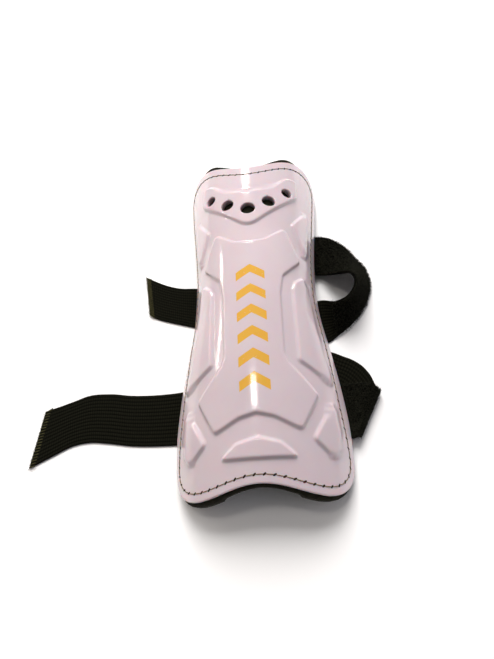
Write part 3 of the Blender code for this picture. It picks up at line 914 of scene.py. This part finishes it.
@dataclass(frozen=True)
class Strap:
    """One elastic band: sewn under the pad's right edge, round its loop, back below, free at the left."""

    form: GuardForm
    name: str
    along: float
    loop: tuple[tuple[float, ...], ...]
    tail: tuple[tuple[float, ...], ...]
    plush_run: float
    seed: int
    width: float = 29.8 * MM
    thickness: float = 1.5 * MM
    sewn_length: float = 18.0 * MM
    rim_inset_share: float = 1 / 3
    rim_rise_share: float = 0.6
    rim_turn: float = 0.4 * MM
    corner_out: float = 0.75
    corner_up: float = 0.6
    rows_per_span: int = 12
    ribs: int = 14
    samples_per_rib: int = 6
    rib_height: float = 0.24 * MM
    rib_power: float = 0.6
    core_share: float = 0.35
    edge_power: int = 16
    plush_height: float = 0.16 * MM
    plush_fade: float = 6.0 * MM
    plush_grain: float = 1.6 * MM
    face_share: float = 0.9

    def control_rows(self) -> Array:
        """The band's outer and inner edge points, from its sewn end to its free end."""
        rows = []
        edge_places = np.array([self.along + self.width / 2, self.along - self.width / 2])
        back = -(PAD_BACK + GAP + self.thickness / 2)
        turn = GAP + self.thickness / 2 + self.rim_turn
        under_pad = (
            (-self.sewn_length, back),
            (-self.sewn_length / 2, back),
            (-PAD_THICKNESS * self.rim_inset_share, back),
            (turn * self.corner_out, back - turn * self.corner_up + self.thickness / 2),
            (turn, back + PAD_THICKNESS * self.rim_rise_share),
        )
        for outset, lift in under_pad:
            across = self.form.half_arc(edge_places) + PAD_OVERHANG + outset
            rows.append(self.form.lifted(np.stack([across, edge_places], axis=-1), lift))
        rim_point = self.form.surface(self.form.half_arc(self.along), np.array(self.along))
        rim = float(rim_point[0]) - self.form.axis_x
        for sign, table in ((1, self.loop), (-1, self.tail)):
            shares = np.array(table).reshape(-1, 2, 3)
            x = self.form.axis_x + sign * (rim + shares[..., 0] * self.width)
            y = self.along + shares[..., 1] * self.width
            z = np.maximum(shares[..., 2] * self.width, self.thickness / 2)
            rows += list(np.stack([x, y, z], axis=-1))
        return np.array(rows)

    def rows(self) -> Array:
        """Fine rows between the control rows: a cubic through them whose slopes are mean slopes."""
        rows = self.control_rows()
        knots = distance_run(rows.mean(axis=1))
        slopes = np.gradient(rows, knots, axis=0)
        place = np.arange((len(rows) - 1) * self.rows_per_span + 1) / self.rows_per_span
        low = np.minimum(place.astype(int), len(rows) - 2)
        span = (knots[low + 1] - knots[low])[:, None, None]
        fine = cubic((place - low)[:, None, None], span, rows, slopes, low)
        fine[..., 2] = np.maximum(fine[..., 2], self.thickness / 2)
        return fine

    def course(self) -> tuple[Array, Array, Array, Array]:
        """The band's centre line, half width, outward side and distance run, row by row."""
        rows = self.rows()
        centre = rows.mean(axis=1)
        half = (rows[:, 0] - rows[:, 1]) / 2
        normal = unit(np.cross(np.gradient(centre, axis=0), half))
        return centre, half, normal, distance_run(centre)

    def plush_share(self, run: Array) -> Array:
        """1 on the brushed stretch from the sewn end, falling to 0 on the ribbed rest."""
        return 1 - smoothstep((run - self.plush_run) / self.plush_fade)

    def build_band(self) -> bpy.types.Object:
        """The band's mesh: a rounded flat section with ribs, carried along its course."""
        centre, half, normal, run = self.course()
        across = np.linspace(-1, 1, self.ribs * self.samples_per_rib + 1)
        edge = np.sqrt(np.maximum(1 - np.abs(across) ** self.edge_power, 0))
        fullness = self.core_share + (1 - self.core_share) * edge
        body = self.thickness / 2 * fullness - self.rib_height / 2
        rib = self.rib_height * np.abs(np.sin(math.pi * self.ribs * (across + 1) / 2)) ** self.rib_power
        flat = np.stack(np.broadcast_arrays(run[:, None], across * self.width / 2), axis=-1)
        plush = self.plush_share(run)[:, None]
        fluff = self.plush_height * (ripple(flat, self.plush_grain, self.seed) + 1) / 2
        front = body + (rib * (1 - plush) + fluff * plush) * edge
        back = np.broadcast_to(body + rib * edge, front.shape)
        offsets = np.concatenate([front, -back[:, ::-1]], axis=1)
        shares = np.concatenate([across, across[::-1]])
        points = centre[:, None] + half[:, None] * shares[:, None] + normal[:, None] * offsets[..., None]
        points[..., 2] = np.maximum(points[..., 2], 0.0)
        notes = np.zeros_like(points)
        notes[..., 0] = run[:, None]
        notes[..., 1] = shares * self.width / 2
        notes[:, : len(across), 2] = plush
        count = len(shares)
        first = np.arange(len(across) - 1)
        cap = np.stack([first, first + 1, count - 2 - first, count - 1 - first], axis=1)
        made = Patchwork()
        made.add_rings(points, notes, Facing.OUT, [cap, (cap + (len(run) - 1) * count)[:, ::-1]])
        return made.to_object(self.name + "_band", "band")

    def spots(
        self, count: int, low_run: float, high_run: float, random: np.random.Generator
    ) -> tuple[Array, Array, Array]:
        """Random places on the band's outward face.

        Args:
            count: Number of places.
            low_run: Where the stretch begins.
            high_run: Where the stretch ends.
            random: The source of random numbers.

        Returns:
            Points, outward directions, and directions along the band.
        """
        centre, half, normal, run = self.course()
        at = random.uniform(low_run, high_run, count)
        share = random.uniform(-1, 1, count)[:, None]
        outward = unit(interpolated(at, run, normal))
        middle = interpolated(at, run, centre) + interpolated(at, run, half) * share
        ahead = unit(interpolated(at, run, np.gradient(centre, axis=0)))
        return middle + outward * self.thickness / 2 * self.face_share, outward, ahead


@dataclass(frozen=True)
class Pile:
    """The brushed loops of a strap: short bent strands that lean every way, thickest at their root."""

    strap: Strap
    count: int = 9000
    start: float = 2.0 * MM
    spill: float = 4.0 * MM
    tilts: tuple[float, float] = (0.3, 1.3)
    lengths: tuple[float, float] = (0.5 * MM, 1.3 * MM)
    root_depth: float = 0.1 * MM
    middle_share: float = 0.55
    middle_tilt: float = 0.4
    tip_rise: float = 0.8
    radii: tuple[float, ...] = (0.13 * MM, 0.12 * MM, 0.04 * MM)
    ground_gap: float = 0.05 * MM
    sides: int = 3

    def build(self) -> bpy.types.Object:
        """The loops' mesh."""
        random = np.random.default_rng(self.strap.seed)
        low, high = self.strap.sewn_length + self.start, self.strap.plush_run + self.spill
        points, outward, ahead = self.strap.spots(self.count, low, high, random)
        beside = np.cross(outward, ahead)
        lean = random.uniform(0, 2 * math.pi, self.count)[:, None]
        tilt = np.cos(lean) * ahead + np.sin(lean) * beside
        tilt *= random.uniform(*self.tilts, self.count)[:, None]
        length = random.uniform(*self.lengths, self.count)[:, None]
        middle = points + (outward + tilt * self.middle_tilt) * length * self.middle_share
        tip = points + (outward * self.tip_rise + tilt) * length
        paths = np.stack([points - outward * self.root_depth, middle, tip], axis=1)
        paths[..., 2] = np.maximum(paths[..., 2], self.ground_gap)
        made = Patchwork()
        add_strands(made, paths, np.tile(self.radii, (self.count, 1)), beside, self.sides)
        return made.to_object(self.strap.name + "_plush", "strand")


@dataclass(frozen=True)
class Overlock:
    """The overlocked free end of a strap: slanting loops of thread, and a few loose strands."""

    strap: Strap
    loops: int = 20
    depth: float = 3.6 * MM
    slant: float = 0.9 * MM
    edge_share: float = 0.97
    clearance: float = 0.05 * MM
    loop_places: tuple[float, ...] = (0.0, 0.35, 0.5, 0.65, 1.0)
    loop_forward: tuple[float, ...] = (-1.0, -0.12, 0.09, -0.12, -1.0)
    loop_height: tuple[float, ...] = (1.0, 1.0, 0.0, -1.0, -1.0)
    loop_points: int = 9
    thread_radius: float = 0.30 * MM
    thread_sides: int = 6
    loose: int = 34
    jitter: float = 0.012
    lean: float = 0.35
    reaches: tuple[float, float] = (0.7 * MM, 1.7 * MM)
    rises: tuple[float, float] = (-0.2, 0.4)
    bend: float = 0.3
    loose_points: int = 5
    loose_radii: tuple[float, float] = (0.16 * MM, 0.08 * MM)
    loose_sides: int = 4
    ground_gap: float = 0.1 * MM

    def build(self) -> bpy.types.Object:
        """The loops and the loose strands, as one mesh."""
        centre, half, normal, _ = self.strap.course()
        end, side, up = centre[-1], unit(half[-1]), normal[-1]
        ahead = unit(centre[-1] - centre[-3])
        half_width = float(np.linalg.norm(half[-1]))
        made = Patchwork()

        place = np.linspace(-self.edge_share, self.edge_share, self.loops)[:, None] * half_width
        turn = np.linspace(0, 1, self.loop_points)
        forward = np.interp(turn, self.loop_places, self.loop_forward) * self.depth
        height = np.interp(turn, self.loop_places, self.loop_height)
        height *= self.strap.thickness / 2 + self.clearance
        sideways = place + self.slant * (1 - 2 * turn)
        paths = end + ahead * forward[:, None] + up * height[:, None] + side * sideways[..., None]
        paths[..., 2] = np.maximum(paths[..., 2], self.thread_radius)
        radii = np.full(paths.shape[:2], self.thread_radius)
        add_strands(made, paths, radii, np.broadcast_to(side, (self.loops, 3)), self.thread_sides)

        random = np.random.default_rng(self.strap.seed + 7)
        across = np.linspace(-1, 1, self.loose) + random.normal(0, self.jitter, self.loose)
        root = end + side * (across * half_width)[:, None]
        lean = random.normal(0, self.lean, self.loose)[:, None]
        reach = random.uniform(*self.reaches, self.loose)[:, None]
        rise = random.uniform(*self.rises, self.loose)[:, None]
        away = ahead + side * lean + up * rise
        bend = side * random.normal(0, self.bend, self.loose)[:, None] * reach
        steps = np.linspace(0, 1, self.loose_points)[None, :, None]
        strands = root[:, None] + away[:, None] * reach[:, None] * steps + bend[:, None] * steps**2
        strands[..., 2] = np.maximum(strands[..., 2], self.ground_gap)
        radii = np.tile(np.linspace(*self.loose_radii, self.loose_points), (self.loose, 1))
        add_strands(made, strands, radii, np.broadcast_to(up, (self.loose, 3)), self.loose_sides)
        return made.to_object(self.strap.name + "_overlock", "strand")


@dataclass(frozen=True)
class BoxStitch:
    """The stitched box that holds a strap's sewn end under the pad."""

    strap: Strap
    inset: float = 3.0 * MM
    pitch: float = 2.6 * MM
    stitch_start: float = 0.1
    stitch_places: int = 5
    bow: float = 0.2 * MM
    thread_radius: float = 0.2 * MM
    thread_sides: int = 5

    def build(self) -> bpy.types.Object:
        """The stitches' mesh."""
        centre, half, normal, run = self.strap.course()
        low, high = self.inset, self.strap.sewn_length - self.inset
        wide = self.strap.width / 2 - self.inset
        box = [(low, -wide), (high, -wide), (high, wide), (low, wide), (low, -wide)]
        corners = np.array([*box, (high, wide)])
        length = distance_run(corners)
        stitches = round(length[-1] / self.pitch)
        offsets = np.linspace(self.stitch_start, 1 - self.stitch_start, self.stitch_places)
        at = (np.arange(stitches)[:, None] + offsets) / stitches * length[-1]
        flat = interpolated(at, length, corners)
        along, across = flat[..., 0], flat[..., 1:] / (self.strap.width / 2)
        outward = unit(interpolated(along, run, normal))
        bow = np.sin(np.linspace(0, math.pi, self.stitch_places)) * self.bow
        middle = interpolated(along, run, centre) + interpolated(along, run, half) * across
        paths = middle - outward * (self.strap.thickness / 2 + bow)[:, None]
        made = Patchwork()
        radii = np.full(paths.shape[:2], self.thread_radius)
        add_strands(made, paths, radii, outward[:, self.stitch_places // 2], self.thread_sides)
        return made.to_object(self.strap.name + "_stitches", "strand")


@dataclass(frozen=True)
class HookTab:
    """A patch of hook tape on the pad's inner face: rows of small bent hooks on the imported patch."""

    form: GuardForm
    name: str
    along: float
    length: float = 30.0 * MM
    width: float = 20.0 * MM
    edge_inset: float = 4.5 * MM
    face_lift: float = -9.0 * MM
    pitch: float = 0.95 * MM
    hook_height: float = 0.9 * MM
    hook_radius: float = 0.13 * MM
    hook_sides: int = 4
    hook_steps: tuple[tuple[float, float], ...] = ((-0.1, 0.0), (0.6, 0.0), (1.0, 0.35), (0.8, 0.7))
    bare_rows: int = 2

    def build(self) -> bpy.types.Object:
        """The hooks: each a strand that stands off the patch and bends over to one side."""
        rows = int(self.length / self.pitch) - self.bare_rows
        columns = int(self.width / self.pitch) - self.bare_rows
        along = self.along + (np.arange(rows) - (rows - 1) / 2) * self.pitch
        inset = self.edge_inset + self.width / 2 + (np.arange(columns) - (columns - 1) / 2) * self.pitch
        along, inset = (v.reshape(-1) for v in np.meshgrid(along, inset, indexing="ij"))
        flat = np.stack([-(self.form.half_arc(along) - inset), along], axis=-1)
        root, outward = self.form.lifted(flat, self.face_lift), -self.form.normal(flat)
        side = np.where((np.arange(len(flat)) % 2 == 0)[:, None], 1, -1) * np.array([0.0, 1.0, 0.0])
        steps = [outward * up + side * out for up, out in self.hook_steps]
        paths = np.stack([root + step * self.hook_height for step in steps], axis=1)
        made = Patchwork()
        radii = np.full(paths.shape[:2], self.hook_radius)
        add_strands(made, paths, radii, np.cross(side, outward), self.hook_sides)
        return made.to_object(self.name + "_hooks", "strand")


class Paint:
    """One material's nodes, with short calls for those that it uses."""

    def __init__(self, name: str) -> None:
        """Start from a Principled surface."""
        self.material = bpy.data.materials.new(name)
        self.material.use_nodes = True
        self.tree = self.material.node_tree
        self.surface = self.tree.nodes["Principled BSDF"]

    def feed(self, target: Socket, value: Socket | Colour | float) -> None:
        """Give an input a colour, a number or another node's output."""
        if isinstance(value, tuple):
            target.default_value = (*value, 1.0)
        elif isinstance(value, (int, float)):
            target.default_value = value
        else:
            self.link(value, target)

    def fixed(self, **values: Socket | Colour | float) -> None:
        """Give the surface's own inputs their values; a name's underscores stand for spaces."""
        for name, value in values.items():
            self.feed(self.surface.inputs[name.replace("_", " ").title().replace("Ior", "IOR")], value)

    def link(self, source: Socket, target: Socket) -> None:
        """Join two sockets."""
        self.tree.links.new(source, target)

    def math(self, operation: str, *values: Socket | float) -> Socket:
        """A Math node; each input is a socket or a number."""
        node = self.tree.nodes.new("ShaderNodeMath")
        node.operation = operation
        for socket, value in zip(node.inputs, values):
            self.feed(socket, value)
        return node.outputs[0]

    def note(self, name: str) -> tuple[Socket, ...]:
        """A point attribute, split into its three numbers."""
        node = self.tree.nodes.new("ShaderNodeAttribute")
        node.attribute_name = name
        split = self.tree.nodes.new("ShaderNodeSeparateXYZ")
        self.link(node.outputs["Vector"], split.inputs[0])
        return (*split.outputs,)

    def place(self) -> Socket:
        """Object coordinates."""
        return self.tree.nodes.new("ShaderNodeTexCoord").outputs["Object"]

    def noise(self, scale: float, detail: float = 3.0, roughness: float = 0.5) -> Socket:
        """Noise over object coordinates, from 0 to 1; scale is in waves for each metre."""
        node = self.tree.nodes.new("ShaderNodeTexNoise")
        values = {"Vector": self.place(), "Scale": scale, "Detail": detail, "Roughness": roughness}
        for name, value in values.items():
            self.feed(node.inputs[name], value)
        return node.outputs["Fac"]

    def cells(self, scale: float) -> Socket:
        """Distance to the nearest of many scattered points, for pores."""
        node = self.tree.nodes.new("ShaderNodeTexVoronoi")
        self.link(self.place(), node.inputs["Vector"])
        node.inputs["Scale"].default_value = scale
        return node.outputs["Distance"]

    def ramp(self, value: Socket, *stops: tuple[float, Colour]) -> Socket:
        """Colours at places from 0 to 1, blended between."""
        node = self.tree.nodes.new("ShaderNodeValToRGB")
        band = node.color_ramp
        while len(band.elements) < len(stops):
            band.elements.new(0.5)
        for element, (position, colour) in zip(band.elements, stops):
            element.position = position
            element.color = (*colour, 1.0)
        self.link(value, node.inputs[0])
        return node.outputs[0]

    def mix(self, share: Socket | float, first: Socket | Colour, second: Socket | Colour) -> Socket:
        """A blend of two colours; each is a socket or a colour."""
        node = self.tree.nodes.new("ShaderNodeMix")
        node.data_type = "RGBA"
        for place, value in (("Factor", share), (6, first), (7, second)):
            self.feed(node.inputs[place], value)
        return node.outputs[2]

    def scaled(self, value: Socket, low: float, high: float) -> Socket:
        """The value, moved from 0 to 1 onto low to high."""
        return self.math("MULTIPLY_ADD", value, high - low, low)

    def bump(self, height: Socket, distance: float) -> None:
        """Bump the surface by a height from 0 to 1 times the distance, over any bump that is there."""
        node = self.tree.nodes.new("ShaderNodeBump")
        node.inputs["Distance"].default_value = distance
        node.inputs["Strength"].default_value = 1.0
        self.link(height, node.inputs["Height"])
        normal = self.surface.inputs["Normal"]
        if normal.is_linked:
            self.link(normal.links[0].from_socket, node.inputs["Normal"])
        self.link(node.outputs[0], normal)


@dataclass(frozen=True)
class GlossPlastic:
    """Glossy white plastic with a faint pink cast and a plain gold arrow design near the crown line."""

    white: Colour = (0.575, 0.487, 0.515)
    shade: Colour = (0.535, 0.443, 0.475)
    gold: Colour = (0.64, 0.355, 0.045)
    design_half_width: float = 7.6 * MM
    design_low: float = -52.0 * MM
    design_high: float = 22.0 * MM
    chevron_pitch: float = 12.4 * MM
    chevron_share: float = 0.42
    chevron_slope: float = 0.62
    cloud_waves: float = 22.0
    smear_waves: float = 60.0
    sag_waves: float = 75.0
    grain_waves: float = 900.0
    worn_below: float = 0.27
    sag_depth: float = 0.05 * MM
    grain_depth: float = 0.004 * MM

    def design_mask(self, paint: Paint) -> Socket:
        """1 on the gold: within the half width, in the inked share of each pitch of slanted lines.

        Args:
            paint: The material's nodes.

        Returns:
            1 or 0; the lines run along plus the slope times the size of across.
        """
        across, along, _ = paint.note("drawing")
        size = paint.math("ABSOLUTE", across)
        inside = paint.math("LESS_THAN", size, self.design_half_width)
        shifted = paint.math("ADD", along, paint.math("MULTIPLY", size, self.chevron_slope))
        above = paint.math("GREATER_THAN", shifted, self.design_low)
        below = paint.math("LESS_THAN", shifted, self.design_high)
        turns = paint.math("DIVIDE", paint.math("SUBTRACT", shifted, self.design_low), self.chevron_pitch)
        inked = paint.math("LESS_THAN", paint.math("FRACT", turns), self.chevron_share)
        between = paint.math("MULTIPLY", above, below)
        return paint.math("MULTIPLY", paint.math("MULTIPLY", inside, inked), between)

    def build(self) -> bpy.types.Material:
        """The material."""
        paint = Paint("white_gloss_plastic")
        mask = self.design_mask(paint)
        cloud = paint.ramp(paint.noise(self.cloud_waves, 4), (0.35, self.white), (0.75, self.shade))
        grain = paint.noise(self.grain_waves, 2)
        kept = paint.math("GREATER_THAN", grain, self.worn_below)
        paint.fixed(
            base_color=paint.mix(paint.math("MULTIPLY", mask, kept), cloud, self.gold),
            roughness=paint.scaled(paint.noise(self.smear_waves, 5, 0.6), 0.07, 0.2),
            ior=1.5,
            coat_weight=0.35,
            coat_roughness=0.04,
            subsurface_weight=0.45,
            subsurface_scale=2.2 * MM,
        )
        paint.bump(paint.noise(self.sag_waves, 3), self.sag_depth)
        paint.bump(grain, self.grain_depth)
        return paint.material


@dataclass(frozen=True)
class ClosedCellFoam:
    """Near-black foam with an olive tint and fine pores."""

    dark: Colour = (0.007, 0.007, 0.004)
    light: Colour = (0.022, 0.020, 0.012)
    pores_per_metre: float = 1900.0
    pore_depth: float = 0.10 * MM
    dent_waves: float = 160.0
    dent_depth: float = 0.12 * MM

    def build(self) -> bpy.types.Material:
        """The material."""
        paint = Paint("black_foam")
        tone = paint.ramp(paint.noise(700, 4, 0.6), (0.3, self.dark), (0.75, self.light))
        roughness = paint.scaled(paint.noise(300, 3), 0.72, 0.95)
        paint.fixed(base_color=tone, roughness=roughness, specular_ior_level=0.15)
        paint.bump(paint.cells(self.pores_per_metre), self.pore_depth)
        paint.bump(paint.noise(self.dent_waves, 3), self.dent_depth)
        return paint.material


@dataclass(frozen=True)
class RibbedElastic:
    """Black woven elastic: ribs along its length, fine yarns across, brushed where its note says so; painted
    shade darkens the hollows between ribs and yarns.
    """

    name: str
    width: float
    ribs: int
    # Colour of the hollows between ribs and yarns: painted shade.
    shaded_valley: Colour = (0.0003, 0.0003, 0.0002)
    ridge: Colour = (0.0095, 0.0095, 0.0060)
    pile: Colour = (0.001, 0.001, 0.0008)
    yarn_pitch: float = 1.3 * MM
    weave_depth: float = 0.12 * MM
    fuzz_depth: float = 0.08 * MM

    def build(self) -> bpy.types.Material:
        """The material."""
        paint = Paint(self.name)
        along, across, plush = paint.note("band")
        turn = paint.math("MULTIPLY", across, math.pi * self.ribs / self.width)
        rib = paint.math("POWER", paint.math("ABSOLUTE", paint.math("SINE", turn)), 0.5)
        wave = paint.math("SINE", paint.math("MULTIPLY", along, 2 * math.pi / self.yarn_pitch))
        yarn = paint.math("MULTIPLY_ADD", wave, 0.5, 0.5)
        woven = paint.math("MULTIPLY", rib, paint.scaled(yarn, 0.4, 1.0))
        fuzz = paint.noise(1500, 4, 0.7)
        weave_part = paint.math("MULTIPLY", woven, paint.math("SUBTRACT", 1.0, plush))
        height = paint.math("ADD", weave_part, paint.math("MULTIPLY", fuzz, plush))
        # The colour follows the weave's height, from the valley colour in the hollows between ribs and yarns
        # to the ridge colour on their tops: the dark hollows are painted shade.
        tone = paint.mix(plush, paint.ramp(woven, (0.1, self.shaded_valley), (0.95, self.ridge)), self.pile)
        worn = paint.mix(paint.scaled(paint.noise(90, 3), 0.0, 0.12), tone, self.ridge)
        paint.fixed(base_color=worn, roughness=paint.scaled(fuzz, 0.75, 0.98), specular_ior_level=0.05)
        paint.bump(height, self.weave_depth)
        paint.bump(fuzz, self.fuzz_depth)
        return paint.material


@dataclass(frozen=True)
class Thread:
    """Spun thread: twisted strands in one colour, darker in places."""

    name: str
    light: Colour
    dark: Colour
    roughness: float = 0.8
    roughness_spread: float = 0.1
    twist_depth: float = 0.05 * MM

    def build(self) -> bpy.types.Material:
        """The material."""
        paint = Paint(self.name)
        tone = paint.ramp(paint.noise(1200, 3, 0.6), (0.3, self.dark), (0.7, self.light))
        low, high = self.roughness - self.roughness_spread, self.roughness + self.roughness_spread
        roughness = paint.scaled(paint.noise(500, 2), low, high)
        paint.fixed(base_color=tone, roughness=roughness, specular_ior_level=0.06)
        paint.bump(paint.noise(3000, 2), self.twist_depth)
        return paint.material


@dataclass(frozen=True)
class HookTape:
    """The backing of hook tape: a fine black weave."""

    dark: Colour = (0.008, 0.008, 0.008)
    light: Colour = (0.030, 0.030, 0.028)
    yarns_per_metre: float = 1500.0
    weave_depth: float = 0.12 * MM

    def build(self) -> bpy.types.Material:
        """The material."""
        paint = Paint("hook_tape")
        weave = paint.cells(self.yarns_per_metre)
        tone = paint.ramp(weave, (0.1, self.light), (0.7, self.dark))
        paint.fixed(base_color=tone, roughness=paint.scaled(paint.noise(400, 3), 0.7, 0.9))
        paint.bump(weave, self.weave_depth)
        return paint.material


@dataclass(frozen=True)
class Lamp:
    """One rectangular light that faces the guard; a mirrored one shows in glossy faces."""

    name: str
    place: tuple[float, float, float]
    width: float
    height: float
    power: float
    colour: Colour
    mirrored: bool = False


@dataclass(frozen=True)
class Studio:
    """The pale floor, the soft lights and the camera at the photograph's angle."""

    floor_size: float = 6.0
    floor_colour: Colour = (0.90, 0.895, 0.89)
    floor_roughness: float = 0.7
    floor_drop: float = 0.02 * MM
    camera_place: tuple[float, float, float] = (53.2 * MM, -148.0 * MM, 264.5 * MM)
    azimuth: float = math.radians(11.62)
    elevation: float = math.radians(60.69)
    roll: float = math.radians(-15.05)
    focal_pixels: float = 502.64
    frame_height_pixels: float = 659.0
    sensor: float = 36.0
    nearest_seen: float = 0.01
    lights: tuple[Lamp, ...] = (
        Lamp("key_far", (0.0, 1.0, 1.2), 0.9, 0.9, 31.0, (1.0, 0.98, 0.97)),
        Lamp("fill_left", (-1.0, 0.0, 0.6), 0.6, 0.6, 0.7, (1.0, 0.74, 0.40)),
        Lamp("fill_right", (0.9, -0.2, 0.8), 0.6, 0.6, 1.2, (0.88, 0.86, 1.0)),
        Lamp("window_left", (-1.0, 0.6, 0.65), 0.08, 0.5, 2.2, (1.0, 0.92, 0.82), mirrored=True),
        Lamp("window_far", (-0.09, 1.09, 0.70), 0.16, 0.16, 2.0, (1.0, 0.95, 0.88), mirrored=True),
        Lamp("ceiling_lamp", (-0.12, 0.13, 1.29), 0.14, 0.14, 1.5, (1.0, 0.95, 0.88), mirrored=True),
    )
    sky: Colour = (1.0, 0.98, 0.99)
    sky_strength: float = 0.28
    sky_slope: float = 0.20

    def build_floor(self) -> bpy.types.Object:
        """The floor, just under the guard."""
        half = self.floor_size / 2
        corners = np.full((2, 2, 3), -self.floor_drop)
        corners[..., 0] = (-half, half)
        corners[..., 1] = [[-half], [half]]
        made = Patchwork()
        made.add_grid(corners, np.zeros_like(corners), Facing.OUT)
        floor = made.to_object("floor", "place")
        paint = Paint("pale_floor")
        paint.fixed(base_color=self.floor_colour, roughness=self.floor_roughness)
        floor.data.materials.append(paint.material)
        return floor

    def build_lights(self) -> None:
        """The area lights, each turned to the guard, and a sky that is brighter on the far side."""
        for lamp in self.lights:
            light = bpy.data.lights.new(lamp.name, "AREA")
            light.shape = "RECTANGLE"
            light.size = lamp.width
            light.size_y = lamp.height
            light.energy = lamp.power
            light.color = lamp.colour
            placed = bpy.data.objects.new(lamp.name, light)
            placed.visible_glossy = lamp.mirrored
            bpy.context.scene.collection.objects.link(placed)
            back = unit(np.array(lamp.place))
            across = unit(np.cross((0.0, 1.0, 0.0), back))
            placed.matrix_world = self.turned(across, np.cross(back, across), back, lamp.place)
        world = bpy.data.worlds.new("studio")
        world.use_nodes = True
        nodes, links = world.node_tree.nodes, world.node_tree.links
        background = nodes["Background"]
        background.inputs["Color"].default_value = (*self.sky, 1.0)
        split = nodes.new("ShaderNodeSeparateXYZ")
        links.new(nodes.new("ShaderNodeTexCoord").outputs["Generated"], split.inputs[0])
        slope = nodes.new("ShaderNodeMath")
        slope.operation = "MULTIPLY_ADD"
        slope.inputs[1].default_value = self.sky_slope
        slope.inputs[2].default_value = self.sky_strength
        links.new(split.outputs["Y"], slope.inputs[0])
        links.new(slope.outputs[0], background.inputs["Strength"])
        bpy.context.scene.world = world
        bpy.context.scene.view_settings.view_transform = "Standard"

    @staticmethod
    def turned(right: Array, up: Array, back: Array, place: Sequence[float]) -> Matrix:
        """The matrix that turns an object's own axes to three directions and moves it to a place."""
        columns = np.column_stack([right, up, back, place])
        return Matrix(np.vstack([columns, (0, 0, 0, 1)]).tolist())

    def build_camera(self) -> bpy.types.Object:
        """The camera: it looks down its azimuth and elevation, then rolls about its own line of sight."""
        level = np.array([math.cos(self.azimuth), math.sin(self.azimuth), 0.0])
        away = np.array([math.sin(self.azimuth), -math.cos(self.azimuth), 0.0])
        back = away * math.cos(self.elevation) + np.array([0.0, 0.0, math.sin(self.elevation)])
        right = level * math.cos(self.roll) + np.cross(back, level) * math.sin(self.roll)
        data = bpy.data.cameras.new("camera")
        data.sensor_fit = "VERTICAL"
        data.sensor_height = self.sensor
        data.sensor_width = self.sensor
        data.lens = self.sensor * self.focal_pixels / self.frame_height_pixels
        data.clip_start = self.nearest_seen
        camera = bpy.data.objects.new("camera", data)
        bpy.context.scene.collection.objects.link(camera)
        camera.matrix_world = self.turned(right, np.cross(back, right), back, self.camera_place)
        bpy.context.scene.camera = camera
        return camera


def dress(
    piece: bpy.types.Object, material: bpy.types.Material, stands_for: Sequence[str] = ()
) -> bpy.types.Object:
    """Give a finished piece its material and its place in the frame, and report it.

    Args:
        piece: The finished piece.
        material: Its finish.
        stands_for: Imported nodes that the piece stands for.

    Returns:
        The piece.
    """
    piece.data.materials.clear()
    piece.data.materials.append(material)
    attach(piece, BODY)
    if stands_for:
        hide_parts(*stands_for)
    LOG.info("%s: %d faces", piece.name, len(piece.data.polygons))
    return piece


def main() -> None:
    """Build every sub-assembly in order, dress it and report it."""
    logging.basicConfig(level=logging.INFO, format="%(name)s: %(message)s")
    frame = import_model()
    studio = Studio()
    studio.build_camera()
    studio.build_floor()
    studio.build_lights()

    form = GuardForm.from_frame()
    dress(HardShell(form).build(), GlossPlastic().build(), ["shell"])
    pad = FoamPad(form)
    backing = dress(pad.build(), ClosedCellFoam().build(), ["foam_pad"])

    seam_thread = Thread("olive_thread", (0.30, 0.22, 0.14), (0.12, 0.085, 0.05)).build()
    black_thread = Thread("black_thread", (0.016, 0.017, 0.013), (0.005, 0.005, 0.004)).build()
    # Needle holes: the seam thread's brown made far darker, for the thread in the holes with painted shade
    # over it.
    shaded_hole_thread = Thread("needle_hole_shaded_thread", (0.05, 0.035, 0.025), (0.02, 0.014, 0.01)).build()
    overlock_thread = Thread("overlock_thread", (0.085, 0.080, 0.036), (0.022, 0.020, 0.009)).build()
    seam = Seam(form)
    dress(seam.build_thread("seam_thread", 0.0, Facing.OUT), seam_thread)
    dress(seam.build_holes("seam_holes", 0.0), shaded_hole_thread)
    lining = pad.top_lift - pad.thickness + pad.pinch_depth
    dress(seam.build_thread("lining_thread", lining, Facing.IN), black_thread)

    pile_thread = Thread("pile_thread", (0.030, 0.030, 0.021), (0.0006, 0.0006, 0.0004)).build()
    straps = (
        Strap(form, "upper_strap", UPPER_ALONG, UPPER_LOOP, UPPER_TAIL, 92 * MM, seed=11),
        Strap(form, "lower_strap", LOWER_ALONG, LOWER_LOOP, LOWER_TAIL, 40 * MM, seed=23),
    )
    for strap in straps:
        elastic = RibbedElastic(strap.name + "_elastic", strap.width, strap.ribs).build()
        dress(strap.build_band(), elastic, [strap.name])
        dress(Pile(strap).build(), pile_thread)
        dress(Overlock(strap).build(), overlock_thread)
        dress(BoxStitch(strap).build(), black_thread)

    tape = HookTape().build()
    for name, along in (("upper_hook_tab", UPPER_ALONG), ("lower_hook_tab", LOWER_ALONG)):
        node = frame["nodes"][name]
        node.data.materials.clear()
        node.data.materials.append(tape)
        dress(HookTab(form, name, along).build(), black_thread)


if __name__ == "__main__":
    main()
